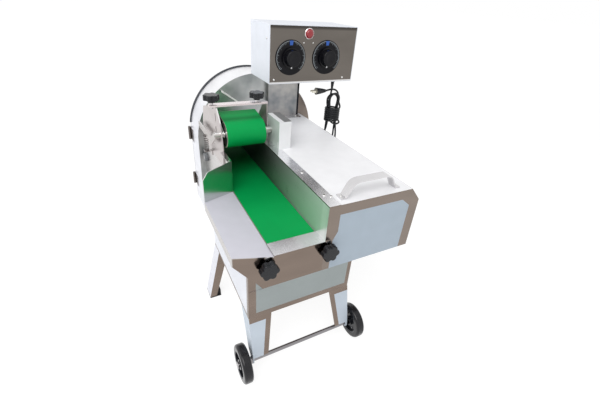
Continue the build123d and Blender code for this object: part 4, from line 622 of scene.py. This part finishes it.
class CUTTER_OT_base(bpy.types.Operator):
    """Finishes the base cabinet and the legs, which keep their film inside a bare border."""
    bl_idname = "cutter.base"
    bl_label = "Base and legs"

    def execute(self, context):
        sheet = context.scene.cutter_sheet
        smooth_sheet("base_cabinet", "cabinet steel", sheet, film=cabinet_film, tone=cabinet_tone)
        smooth_sheet("front_legs", "front leg steel", sheet, film=front_leg_film, tone=(0.56, 0.63, 0.71))
        smooth_sheet("rear_legs", "rear leg steel", sheet, film=rear_leg_film, tone=(0.75, 0.76, 0.82))
        return {"FINISHED"}


# Knife housing

def plate_side(finish):
    """Cloudy grey steel of the knife plate, browner at its right end."""
    cloud = finish.noise(0.011, 3.0, 0.55, 9.0)
    grey = finish.mix(((cloud - 0.35) * 3.0).clamped(), (0.30, 0.32, 0.32), (0.62, 0.63, 0.62))
    return finish.mix(finish.place[0].over(DRUM.x + 144, 20.0), grey, (0.30, 0.25, 0.22))


def hinged_side(colour, finish):
    """The sheet's colour, with dull brown-grey where the hinge leaves stand out on the left."""
    sheet_from = node_box("drum_gasket")[0].x - 0.6
    return finish.mix(1 - finish.place[0].over(sheet_from, 0.4), colour, (0.17, 0.15, 0.14))


class CUTTER_OT_drum(bpy.types.Operator):
    """Finishes the knife housing, its seal, lid, hinges and turn buttons."""
    bl_idname = "cutter.drum"
    bl_label = "Knife housing"

    def execute(self, context):
        sheet = context.scene.cutter_sheet
        smooth_sheet("knife_plate", "knife plate steel", sheet, side=plate_side, along=(1, 1, 0), rough=0.38)
        # The rim, lid and buttons take side and top tones that are painted reflection, as in smooth_sheet.
        smooth_sheet("drum_rim", "rim film", sheet, side=partial(hinged_side, (0.86, 0.87, 0.92)),
                     top=(0.93, 0.93, 0.95), rough=0.35)
        smooth_sheet("drum_lid", "lid steel", sheet, side=partial(hinged_side, (0.55, 0.55, 0.57)),
                     top=(0.9, 0.9, 0.9), along=(1, 0, 0))
        smooth_sheet(["turn_button_low", "turn_button_high"], "button steel", sheet, side=(0.5, 0.5, 0.5))
        dress("drum_gasket", moulded("seal rubber", (0.045, 0.05, 0.06), 0.5))
        rubber = moulded("seal edge rubber", (0.03, 0.034, 0.042), 0.5)
        add_mesh("drum_seal_edge", self.seal_edge, rubber, "machine", smooth=True)
        return {"FINISHED"}

    def seal_edge(self, bm):
        """Rubber lip that shows round the drum's rear edge."""
        start, sweep, steps = 8, 165, 64
        wide, high, bevel = 6, 4, 1.5
        low_corner, high_corner = node_box("drum_gasket")
        radius = (high_corner.x - low_corner.x) / 2
        rear = high_corner.y
        front = rear - wide
        profile = [(radius, front), (radius + 3, front), (radius + high, front + bevel),
                   (radius + high, rear), (radius, rear)]
        rings = []
        for i in range(steps + 1):
            turn = math.radians(start + sweep * i / steps)
            rings.append([bm.verts.new(at(DRUM.x + r * math.cos(turn), y, DRUM.z + r * math.sin(turn)))
                          for r, y in profile])
        for ring, after in zip(rings, rings[1:]):
            join_rings(bm, ring, after)
        bm.faces.new(rings[0])
        bm.faces.new(rings[-1][::-1])


# Belts, rollers and drive

class CUTTER_OT_belts(bpy.types.Operator):
    """Finishes both belts: a satin green cover with a fine texture, and a pale core at the cut edges."""
    bl_idname = "cutter.belts"
    bl_label = "Belts"

    def execute(self, context):
        belt = context.scene.cutter_belt
        for name, light in (("feed_belt", self.feed_light), ("presser_belt", self.presser_light)):
            finish = Finish(name.replace("_", " ") + " cover")
            _, y, z = finish.place
            cloud = finish.noise(0.012, 3.0, 0.5)
            grain = finish.noise(1.2, 3.0, 0.6, 2.0)
            rub = finish.noise((0.25, 0.012, 0.012), 3.0, 0.6, 5.0)
            worn = 0.86 + cloud * 0.2 + (rub - 0.5) * 0.14 + (grain - 0.5) * 0.08
            green = finish.shade(belt.green, worn * light(finish))
            weave = (y * 2.4).sine() * (z * 2.4).sine()
            core = finish.shade(belt.core, 0.85 + weave * 0.12)
            edge = finish.faces_aside()
            finish.set(base_color=finish.mix(edge, green, core), metallic=0.0,
                       roughness=0.46 + (rub - 0.5) * 0.2 + edge * 0.3, specular_ior_level=0.14)
            finish.bump(grain, 0.00006)
            dress(name, finish, 0.0004)
        return {"FINISHED"}

    def feed_light(self, finish):
        """The feed belt's light, which falls off towards the mouth."""
        return 1 - ((finish.place[1] - 180) / 300).clamped() * 0.45

    def presser_light(self, finish):
        """The presser belt's light, with a dimmer band across its upper run."""
        _, y, z = finish.place
        low, high = node_box("presser_belt")
        return 1 - y.between(low.y + 34, low.y + 52, 16.0) * z.over(high.z - 30, 8.0) * 0.45


class CUTTER_OT_rollers(bpy.types.Operator):
    """Finishes the rollers, shafts, bearings, sprockets, chains and motors."""
    bl_idname = "cutter.rollers"
    bl_label = "Rollers and drive"

    def execute(self, context):
        turned = brushed("turned aluminium", (0.62, 0.61, 0.6), (1, 0, 0), 0.3)
        dress("knife_disc", turned, 0.0004)
        dress(["front_roller", "rear_roller", "presser_drive_roller", "presser_idler_roller",
               "presser_nip_roller", "feed_gear_motor"], turned)
        dark = brushed("oiled steel", (0.16, 0.15, 0.145), (1, 1, 1), 0.38)
        dress(["presser_drive_sprocket", "belt_drive_sprocket", "chains", "presser_spring"], dark)
        cast = moulded("cast housing", (0.16, 0.17, 0.18), 0.5, 0.0003)
        dress(["bearings", "knife_motor"], cast)
        bright = brushed("ground steel", (0.7, 0.69, 0.68), (1, 0, 1), 0.14)
        dress(["knife_shaft", "slicing_blades", "screws"], bright)
        dress("wheel_axle", brushed("axle steel", (0.30, 0.29, 0.30), (1, 0, 1), 0.16), 0.0004)
        return {"FINISHED"}


# Presser

# X and Z of the two ends of the pale strip that paints the highlight on the lip's upper edge, where the
# photograph shows them in front of the knife plate
EDGE_HIGHLIGHT_TOP = (62.9, 514.2)
EDGE_HIGHLIGHT_FOOT = (112.2, 480.2)


class CUTTER_OT_presser(bpy.types.Operator):
    """Finishes the presser's plates, arms and crossbar, and adds a pale strip above the mouth as a painted
    highlight on the lip's edge.
    """
    bl_idname = "cutter.presser"
    bl_label = "Presser"

    def execute(self, context):
        sheet = context.scene.cutter_sheet
        # The side and top tones are painted reflection: darker on upright faces, pale on level ones.
        for name, title, side, top, rough in (
                ("presser_stands", "stand steel", (0.56, 0.51, 0.5), (0.85, 0.85, 0.85), 0.3),
                ("presser_arms", "arm steel", (0.5, 0.47, 0.45), (0.85, 0.85, 0.85), 0.3),
                ("crossbar", "crossbar steel", (0.72, 0.64, 0.64), (0.85, 0.78, 0.79), 0.25)):
            smooth_sheet(name, title, sheet, side=side, top=top, rough=rough, edge=0.0005)
        # Painted highlight: a white strip along the lip's upper edge.
        white = moulded("edge highlight white", (0.82, 0.80, 0.78), 0.35)
        add_mesh("mouth_guard_bead", self.guard_edge_highlight, white, "machine", smooth=True)
        return {"FINISHED"}

    def guard_edge_highlight(self, bm):
        """Pale strip along the sloping upper edge of the sheet above the mouth, as a painted highlight on
        that edge.
        """
        half, point, thick = 2.2, 1.2, 5.0
        plate_y = node_box("knife_plate")[0].y
        high = Vector((EDGE_HIGHLIGHT_TOP[0], plate_y, EDGE_HIGHLIGHT_TOP[1]))
        low = Vector((EDGE_HIGHLIGHT_FOOT[0], plate_y, EDGE_HIGHLIGHT_FOOT[1]))
        along = (low - high).normalized()
        across = Vector((along.z, 0, -along.x))
        length = (low - high).length
        outline = [(0, -half), (length, -half), (length + point, 0), (length, half), (0, half), (-point, 0)]
        add_prism(bm, outline, at(*high), along, across, FRONT, thick)


# Hand knobs and wheels

class CUTTER_OT_knobs(bpy.types.Operator):
    """Finishes the black hand knobs, whose screws stay bright."""
    bl_idname = "cutter.knobs"
    bl_label = "Hand knobs"

    def execute(self, context):
        screw_r, presser_grip, tension_grip = 5.0, 20.5, 20.3
        for name in ("tension_knob_left", "tension_knob_right", "presser_knob_left", "presser_knob_right"):
            low, high = node_box(name)
            finish = Finish(name.replace("_", " "))
            _, y, z = finish.place
            if name.startswith("presser"):
                radius = finish.radius((low + high) / 2, 0, 1)
                past_grip = 1 - z.over(high.z - presser_grip, 0.3)
            else:
                radius = finish.radius((low + high) / 2, 0, 2)
                past_grip = y.over(low.y + tension_grip, 0.3)
            screw = (1 - radius.over(screw_r, 0.2)) * past_grip
            cloud = finish.noise(0.2, 3.0, 0.6)
            black = finish.shade((0.008, 0.009, 0.012), 0.8 + cloud * 0.5)
            finish.set(base_color=finish.mix(screw, black, (0.55, 0.55, 0.55)), metallic=screw,
                       roughness=0.26 + (cloud - 0.5) * 0.2, coat_weight=0.1, coat_roughness=0.12,
                       specular_ior_level=0.28)
            finish.bump(finish.noise(1.5, 2.0, 0.5, 3.0), 0.00003)
            dress(name, finish)
        return {"FINISHED"}


class CUTTER_OT_wheels(bpy.types.Operator):
    """Finishes the wheels and feet, and adds the wheels' tread grooves and bolts."""
    bl_idname = "cutter.wheels"
    bl_label = "Wheels"

    def execute(self, context):
        rim_r, tread_r = 31.0, 43.0
        for name, body in (("wheel_left", "wheel_left_body"), ("wheel_right", "wheel_right_body")):
            centre = node_middle(name)
            title = name.replace("_", " ")
            finish = Finish(title + " rubber")
            radius = finish.radius(centre, 1, 2)
            tyre = radius.over(rim_r, 0.3)
            # Painted highlight: a thin grey line round the tyre at the rim, mixed in at half strength.
            rim_highlight = radius.between(rim_r - 1.4, rim_r + 0.2, 0.4)
            groove = abs(finish.place[0] - centre.x).between(3.0, 4.2, 0.3) * radius.over(tread_r, 0.5)
            scuff = finish.noise(0.08, 4.0, 0.6)
            colour = finish.mix(tyre, (0.008, 0.009, 0.012), (0.007, 0.007, 0.009))
            colour = finish.mix(rim_highlight * 0.5, colour, (0.12, 0.13, 0.15))
            finish.set(base_color=finish.shade(colour, 0.8 + scuff * 0.6),
                       roughness=0.2 + tyre * 0.04 + (scuff - 0.5) * 0.16, coat_weight=0.16,
                       coat_roughness=0.06, specular_ior_level=0.3)
            finish.bump(finish.noise(1.0, 2.0, 0.5) * 0.1 - groove, 0.0006)
            dress(name, finish)
            steel = brushed(title + " bolts", (0.16, 0.16, 0.17), (1, 1, 1), 0.2)
            add_mesh(name + "_bolts", partial(self.bolts, centre), steel, body)
        dress("rubber_feet", moulded("foot rubber", (0.010, 0.010, 0.011), 0.55, shine=0.25))
        return {"FINISHED"}

    def bolts(self, centre, bm):
        """Four hexagon heads on each side of a wheel's hub."""
        head_r, head_high, circle_r, face = 2.6, 2.0, 20, 4.0
        hexagon = [(head_r * math.sin(math.radians(60 * i)), head_r * math.cos(math.radians(60 * i)))
                   for i in range(6)]
        for side in (-1, 1):
            for i in range(4):
                turn = math.radians(45 + 90 * i)
                spot = at(centre.x + side * face, centre.y + circle_r * math.sin(turn),
                          centre.z + circle_r * math.cos(turn))
                add_prism(bm, hexagon, spot, BACK, UP, RIGHT * side, head_high)


# Control box

def column_side(finish):
    """Cloudy grey steel of the column, with painted shade under the box and a painted black shadow along its
    right edge, in the gap beside the plate.
    """
    x, _, z = finish.place
    gap_shadow_from = node_box("column")[1].x - 7
    cloud = finish.noise(0.014, 3.0, 0.6, 9.0)
    grey = finish.mix(((cloud - 0.34) * 3.2).clamped(), (0.22, 0.235, 0.25), (0.50, 0.48, 0.46))
    grey = finish.shade(grey, 1 - z.over(BOX_LOW.z - 22, 30.0) * 0.4)
    return finish.mix(x.over(gap_shadow_from, 1.0), grey, (0.02, 0.02, 0.025))


class CUTTER_OT_box(bpy.types.Operator):
    """Finishes the control box, its panel and the column."""
    bl_idname = "cutter.box"
    bl_label = "Control box"

    def execute(self, context):
        sheet = context.scene.cutter_sheet
        control = context.scene.cutter_control

        def panel_side(finish):
            """The panel's steel, dark along its top edge and bright along its bottom edge."""
            z = finish.place[2]
            low, high = node_box("control_panel")
            face = finish.mix(z.over(high.z - 7, 5.0) * 0.75, control.panel, (0.04, 0.036, 0.034))
            return finish.mix(1 - z.over(low.z + 3.5, 1.5), face, (0.75, 0.74, 0.74))

        smooth_sheet("control_box", "box film", sheet, film=lambda finish: 1.0, tone=sheet.film_pale,
                     edge=0.0008)
        smooth_sheet("control_panel", "panel steel", sheet, side=panel_side, rough=0.2, edge=0.0)
        smooth_sheet("column", "column steel", sheet, side=column_side, along=(1, 1, 0), rough=0.36,
                     edge=0.0008)
        return {"FINISHED"}


SCALE_R = 41.5
TICKS_PER_STEP = 5
TOP_GAP = math.radians(14)


class CUTTER_OT_dials(bpy.types.Operator):
    """Finishes the dials and speed knobs, and adds their scales and pointers."""
    bl_idname = "cutter.dials"
    bl_label = "Dials"

    def execute(self, context):
        control = context.scene.cutter_control
        dial = moulded("dial black", (0.005, 0.005, 0.007), 0.3, 0.00003, 0.05, 0.16)
        knob = moulded("knob black", (0.004, 0.004, 0.006), 0.22, 0.00003, 0.08, 0.2)
        dress(["dial_plates", "speed_regulators"], dial)
        dress(["speed_knob_left", "speed_knob_right"], knob)
        scale = moulded("scale print", control.mark, 0.5)
        blue = moulded("blue print", control.blue, 0.4)
        white = moulded("pointer white", (0.85, 0.85, 0.85), 0.4)
        add_mesh("panel_dots", self.panel_dots, white, "machine")
        add_mesh("dial_scales", partial(self.scales, control), scale, "machine")
        add_mesh("dial_blue_marks", self.blue_marks, blue, "machine")
        for name, body in (("speed_knob_left", "speed_left"), ("speed_knob_right", "speed_right")):
            add_mesh(name + "_pointer", partial(self.pointer, name), white, body)
        return {"FINISHED"}

    def scales(self, control, bm):
        """Printed ticks and an arc round each dial, with a gap at the top for the blue mark."""
        count = control.steps * TICKS_PER_STEP
        half_width = 0.008
        for x in DIAL_XS:
            spot = at(x, DIAL_LOW.y, DIAL_Z)
            for i in range(count + 1):
                turn = -control.sweep / 2 + control.sweep * i / count
                if abs(turn) < TOP_GAP:
                    continue
                length = 2.4 if i % TICKS_PER_STEP else 5.0
                tick = arc_outline(SCALE_R - length, SCALE_R, turn - half_width, turn + half_width, 1)
                add_plate(bm, tick, spot, 0.15)
            arc = arc_outline(SCALE_R + 0.7, SCALE_R + 1.7, -control.sweep / 2, control.sweep / 2, 60)
            add_plate(bm, arc, spot, 0.12)

    def blue_marks(self, bm):
        """Blue mark at each dial's top."""
        mark = arc_outline(32.0, 43.5, -0.13, 0.13, 8)
        for x in DIAL_XS:
            add_plate(bm, mark, at(x, DIAL_LOW.y, DIAL_Z), 0.25)

    def panel_dots(self, bm):
        """Two small pale dots on the panel, below the lamp."""
        steps = 12
        disc = arc_outline(0.0, 1.6, 0.0, math.tau, steps)[:steps]
        for offset in (-14.5, 14.5):
            add_plate(bm, disc, at(LAMP.x + offset, BOX_LOW.y, LAMP.z - 23), 0.4)

    def pointer(self, name, bm):
        """White wedge at the lower edge of a speed knob's skirt."""
        low, high = node_box(name)
        wedge = [(-1.4, -20.5), (1.4, -20.5), (2.0, -27.4), (-2.0, -27.4)]
        skirt_y = low.y + 15.4
        add_plate(bm, wedge, at((low.x + high.x) / 2, skirt_y, DIAL_Z), 0.4)


class CUTTER_OT_lamp(bpy.types.Operator):
    """Finishes the indicator lamp: a red lens in a bright ring."""
    bl_idname = "cutter.lamp"
    bl_label = "Indicator lamp"

    def execute(self, context):
        lens_r = 12.4
        finish = Finish("lamp")
        lens = 1 - finish.radius(LAMP, 0, 2).over(lens_r, 0.2)
        facets = finish.node("ShaderNodeTexVoronoi", {"feature": "F1"},
                             {"Vector": finish.stretch((0.5, 0.5, 0.5)), "Scale": 1.0})
        red = finish.shade((0.30, 0.006, 0.014), 0.7 + facets * 0.6)
        finish.set(base_color=finish.mix(lens, (0.86, 0.80, 0.80), red), metallic=1 - lens, roughness=0.2,
                   coat_weight=lens * 0.6, coat_roughness=0.05)
        finish.bump(facets * lens, 0.0004)
        dress("indicator_lamp", finish)
        return {"FINISHED"}


class CUTTER_OT_handle(bpy.types.Operator):
    """Finishes the carrying handle."""
    bl_idname = "cutter.handle"
    bl_label = "Carrying handle"

    def execute(self, context):
        dress("carry_handle", brushed("handle steel", (0.72, 0.71, 0.72), (0, 1, 0), 0.12), 0.0008)
        return {"FINISHED"}


# Mains lead: a hank of two long loops with a band of wraps round its middle, all in millimetres

HANK_LOW = node_box("cord_hank")[0]
HANK = node_middle("cord_hank")
LEAD_OUT = Vector((node_middle("cord_gland").x, HANK.y, node_box("cord_gland")[0].z))
FOLD_R = 19.2
LOWER_FOLD_R = FOLD_R + 0.6
RUN = 14.6
WRAP_A = 23.6
WRAP_B = 22.0
WRAP_TURNS = 7
WRAP_LOW = HANK_LOW.z + 105
WRAP_HIGH = HANK_LOW.z + 149


def fold(x, z, radius, y0, y1, way):
    """Half turn of the hank: way 1 is round the bottom to the right, -1 round the top to the left."""
    entry = 8.1
    reach = radius / math.cos(math.radians(22.5))
    points = [(x - way * radius, y0, z + way * entry)]
    for i, share in enumerate((0.0, 0.22, 0.78, 1.0)):
        turn = math.radians(22.5 + 45 * i)
        points.append((x - way * reach * math.cos(turn), y0 + (y1 - y0) * share,
                       z - way * reach * math.sin(turn)))
    return points + [(x + way * radius, y1, z + way * entry)]


def lead_route():
    """The lead's control points: out of the gland, two long loops, seven wraps round them, to the plug.

    X and Y count from the hank's middle until the last line, and Z from the floor.
    """
    out, top = LEAD_OUT.x - HANK.x, LEAD_OUT.z
    points = [(out, 0, top), (out, 0, top - 11), (out, 0, top - 25), (-13, 0.1, top - 41),
              (-17.5, 0.4, top - 60)]
    # Each loop: Y of its run down, its run up and the run after it, and the middles of its two folds.
    for down, up, after, lower, upper in ((0.5, 4.3, 7.5, (-3, 351), (0, 491)),
                                          (7.5, -3.2, -7.0, (3, 341), (1, 495))):
        points += [(-15.3, down, 468), (-RUN, down, 448), (-RUN, down, 428), (-15.2, down, 408),
                   (lower[0] - LOWER_FOLD_R, down, 378)]
        points += fold(*lower, LOWER_FOLD_R, down, up, 1)
        points += [(lower[0] + LOWER_FOLD_R, up, 376), (17.2, up, 405), (15.4, up, 428), (15.2, up, 448),
                   (15.5, up, 468)]
        points += fold(*upper, FOLD_R, up, after, -1)
    points += [(-15.2, -7.2, 469), (-14.5, -7.2, 456), (-14.5, -7.2, 447), (-14.5, -7.7, 437.5),
               (-12.7, -10.6, 427.6), (-8.1, -16.9, 420.2), (0.6, -23.1, 416.8), (11.4, -23.8, 416.8),
               (21, -18.9, 418.3), (26.2, -9.4, 420), (26, 1.6, 421.6)]
    # The wraps: twelve points to a turn, set outwards so that the curve between them has the right size.
    steps = WRAP_TURNS * 12 - 3
    flare = 1 / math.cos(math.radians(15))
    for i in range(steps + 1):
        turn = math.radians(30 + 30 * i)
        points.append((WRAP_A * flare * math.cos(turn), WRAP_B * flare * math.sin(turn),
                       WRAP_LOW + (WRAP_HIGH - WRAP_LOW) * i / steps))
    plug = node_box("power_plug")[1].x - HANK.x
    points += [(21.6, -12.4, 468.8), (26.5, -3, 473), (27, 5.5, 480), (26.5, 10.5, 489.5), (26, 12.5, 500.5),
               (23.5, 12.8, 511), (16.5, 11.8, 519), (6.5, 10.2, 523.5), (-4, 8.6, 525.2),
               (-13.5, 6.7, 525.2), (-23, 3.6, 524.5), (plug + 5, 0.8, 524), (plug - 2, 0, 524)]
    return [(HANK.x + x, HANK.y + y, z) for x, y, z in points]


def add_lead(diameter, finish):
    """The round lead along a smooth curve, with the route as its control points."""
    route = lead_route()
    curve = bpy.data.curves.new("mains_lead", "CURVE")
    curve.dimensions = "3D"
    curve.bevel_depth = diameter / 2
    curve.bevel_resolution = 4
    curve.resolution_u = 8
    curve.use_fill_caps = True
    spline = curve.splines.new("NURBS")
    spline.points.add(len(route) - 1)
    for point, place in zip(spline.points, route):
        point.co = (*at(*place), 1.0)
    spline.order_u = 3
    spline.use_endpoint_u = True
    lead = bpy.data.objects.new("mains_lead", curve)
    bpy.context.scene.collection.objects.link(lead)
    curve.materials.append(finish.material)
    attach(lead, "machine")
    return lead


class CUTTER_OT_cord(bpy.types.Operator):
    """Makes the mains lead, folded into a wrapped hank, with its strain relief and plug."""
    bl_idname = "cutter.cord"
    bl_label = "Mains lead"

    def execute(self, context):
        diameter = context.scene.cutter_cord.diameter
        black = moulded("lead black", (0.009, 0.010, 0.012), 0.38, 0.00003, 0.05, 0.3)
        dress(["power_cord", "cord_hank", "cord_gland"], black)
        self.finish_plug()
        relief = add_mesh("cord_sleeve", self.sleeve, black, "machine", smooth=True)
        lead = add_lead(diameter, black)
        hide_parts("power_cord", "cord_hank")
        return {"FINISHED"}

    def finish_plug(self):
        """Black plug with bright pins."""
        pins_long = 16.0
        finish = Finish("plug black")
        pin = 1 - finish.place[0].over(node_box("power_plug")[0].x + pins_long, 0.1)
        finish.set(base_color=finish.mix(pin, (0.010, 0.011, 0.013), (0.75, 0.72, 0.62)), metallic=pin,
                   roughness=0.34 - pin * 0.1)
        finish.bump(finish.noise(1.5, 2.0, 0.5), 0.00003)
        dress("power_plug", finish)

    def sleeve(self, bm):
        """Tapered and ribbed strain relief, from the gland down round the lead."""
        length, wide, narrow, groove = 24.0, 6.0, 3.4, 0.5
        rows, steps = 16, 24
        rings = []
        for i in range(rows + 1):
            radius = wide + (narrow - wide) * i / rows - (groove if i % 4 == 2 else 0.0)
            rings.append([bm.verts.new(at(LEAD_OUT.x + radius * math.cos(math.tau * k / steps),
                                          LEAD_OUT.y + radius * math.sin(math.tau * k / steps),
                                          LEAD_OUT.z - length * i / rows)) for k in range(steps)])
        for upper, lower in zip(rings, rings[1:]):
            join_rings(bm, upper, lower)
        bm.faces.new(rings[0][::-1])
        bm.faces.new(rings[-1])


# Stage

# The camera's directions, found from the object's own straight edges
CAMERA_RIGHT = Vector((0.89032, -0.45043, 0.06672))
CAMERA_DOWN = Vector((-0.18574, -0.49302, -0.84996))
CAMERA_AHEAD = Vector((0.41574, 0.74434, -0.52261))


class CUTTER_OT_stage(bpy.types.Operator):
    """Makes the floor, the room's light, the lamps and the camera."""
    bl_idname = "cutter.stage"
    bl_label = "Stage"

    def execute(self, context):
        scene = context.scene
        stage = scene.cutter_stage
        scene.view_settings.view_transform = "Standard"
        self.make_floor(scene)
        self.make_room(scene, stage.sky)
        self.make_lamp(scene, "key", (-1.2, -1.4, 2.6), (0, 0, 0.35), 2.2, stage.key)
        self.make_lamp(scene, "fill", (-2.2, 0.4, 1.2), (0, 0, 0.4), 1.8, stage.fill)
        self.make_camera(scene, stage)
        return {"FINISHED"}

    def make_floor(self, scene):
        """Large pale floor that reads as white but keeps a soft shadow."""
        half, glow, glow_share = 40.0, 1.15, 0.75
        corners = [(-half, -half, 0), (half, -half, 0), (half, half, 0), (-half, half, 0)]
        mesh = bpy.data.meshes.new("floor")
        mesh.from_pydata(corners, [], [(0, 1, 2, 3)])
        floor = bpy.data.objects.new("floor", mesh)
        scene.collection.objects.link(floor)
        finish = Finish("floor white").set(base_color=(0.9, 0.9, 0.9), roughness=0.9)
        white = finish.node("ShaderNodeEmission", {}, {"Color": (1, 1, 1), "Strength": glow})
        mixed = finish.node("ShaderNodeMixShader", {},
                            {0: finish.open_view() * glow_share, 1: finish.shader, 2: white})
        finish.feed(finish.output.inputs["Surface"], mixed)
        mesh.materials.append(finish.material)

    def make_room(self, scene, strength):
        """Even room light, white where the camera or a mirror sees it."""
        scene.world = bpy.data.worlds.new("room")
        scene.world.use_nodes = True
        net = Net(scene.world.node_tree)
        background = net.tree.nodes["Background"]
        net.feed(background.inputs["Color"], (1, 1, 1))
        net.feed(background.inputs["Strength"], net.open_view() * (1 - strength) + strength)

    def make_lamp(self, scene, name, place, target, size, power):
        """Large soft lamp."""
        light = bpy.data.lights.new(name, "AREA")
        light.shape = "DISK"
        light.size = size
        light.energy = power * size * size
        lamp = bpy.data.objects.new(name, light)
        scene.collection.objects.link(lamp)
        lamp.location = place
        lamp.rotation_mode = "QUATERNION"
        lamp.rotation_quaternion = (Vector(target) - Vector(place)).to_track_quat("-Z", "Y")

    def make_camera(self, scene, stage):
        """Camera at the photograph's place."""
        data = bpy.data.cameras.new("camera")
        camera = bpy.data.objects.new("camera", data)
        scene.collection.objects.link(camera)
        data.lens = stage.lens
        data.sensor_width = 36
        data.clip_end = 100
        turn = Matrix((CAMERA_RIGHT, -CAMERA_DOWN, -CAMERA_AHEAD)).transposed()
        camera.matrix_world = Matrix.Translation(at(*stage.eye)) @ turn.to_4x4()
        scene.camera = camera


class CUTTER_PT_panel(bpy.types.Panel):
    """Lists the machine's pieces and settings."""
    bl_idname = "CUTTER_PT_panel"
    bl_label = "Vegetable cutter"
    bl_space_type = "VIEW_3D"
    bl_region_type = "UI"
    bl_category = "Cutter"

    def draw(self, context):
        column = self.layout.column()
        for operator in OPERATORS:
            column.operator(operator.bl_idname)
        for key, group in SETTINGS.items():
            settings = getattr(context.scene, key)
            for field in group.__annotations__:
                column.prop(settings, field)


OPERATORS = (CUTTER_OT_housing, CUTTER_OT_trough, CUTTER_OT_base, CUTTER_OT_drum, CUTTER_OT_belts,
             CUTTER_OT_rollers, CUTTER_OT_presser, CUTTER_OT_knobs, CUTTER_OT_wheels, CUTTER_OT_box,
             CUTTER_OT_dials, CUTTER_OT_lamp, CUTTER_OT_handle, CUTTER_OT_cord, CUTTER_OT_stage)


def register():
    """Registers the settings, the operators and the panel."""
    for key, group in SETTINGS.items():
        bpy.utils.register_class(group)
        setattr(bpy.types.Scene, key, bpy.props.PointerProperty(type=group))
    for operator in OPERATORS:
        bpy.utils.register_class(operator)
    bpy.utils.register_class(CUTTER_PT_panel)


def unregister():
    """Takes back what register did, in reverse."""
    bpy.utils.unregister_class(CUTTER_PT_panel)
    for operator in reversed(OPERATORS):
        bpy.utils.unregister_class(operator)
    for key, group in reversed(SETTINGS.items()):
        delattr(bpy.types.Scene, key)
        bpy.utils.unregister_class(group)


def main():
    """Makes every piece and the stage."""
    register()
    for operator in OPERATORS:
        group, name = operator.bl_idname.split(".")
        getattr(getattr(bpy.ops, group), name)()


if __name__ == "__main__":
    main()
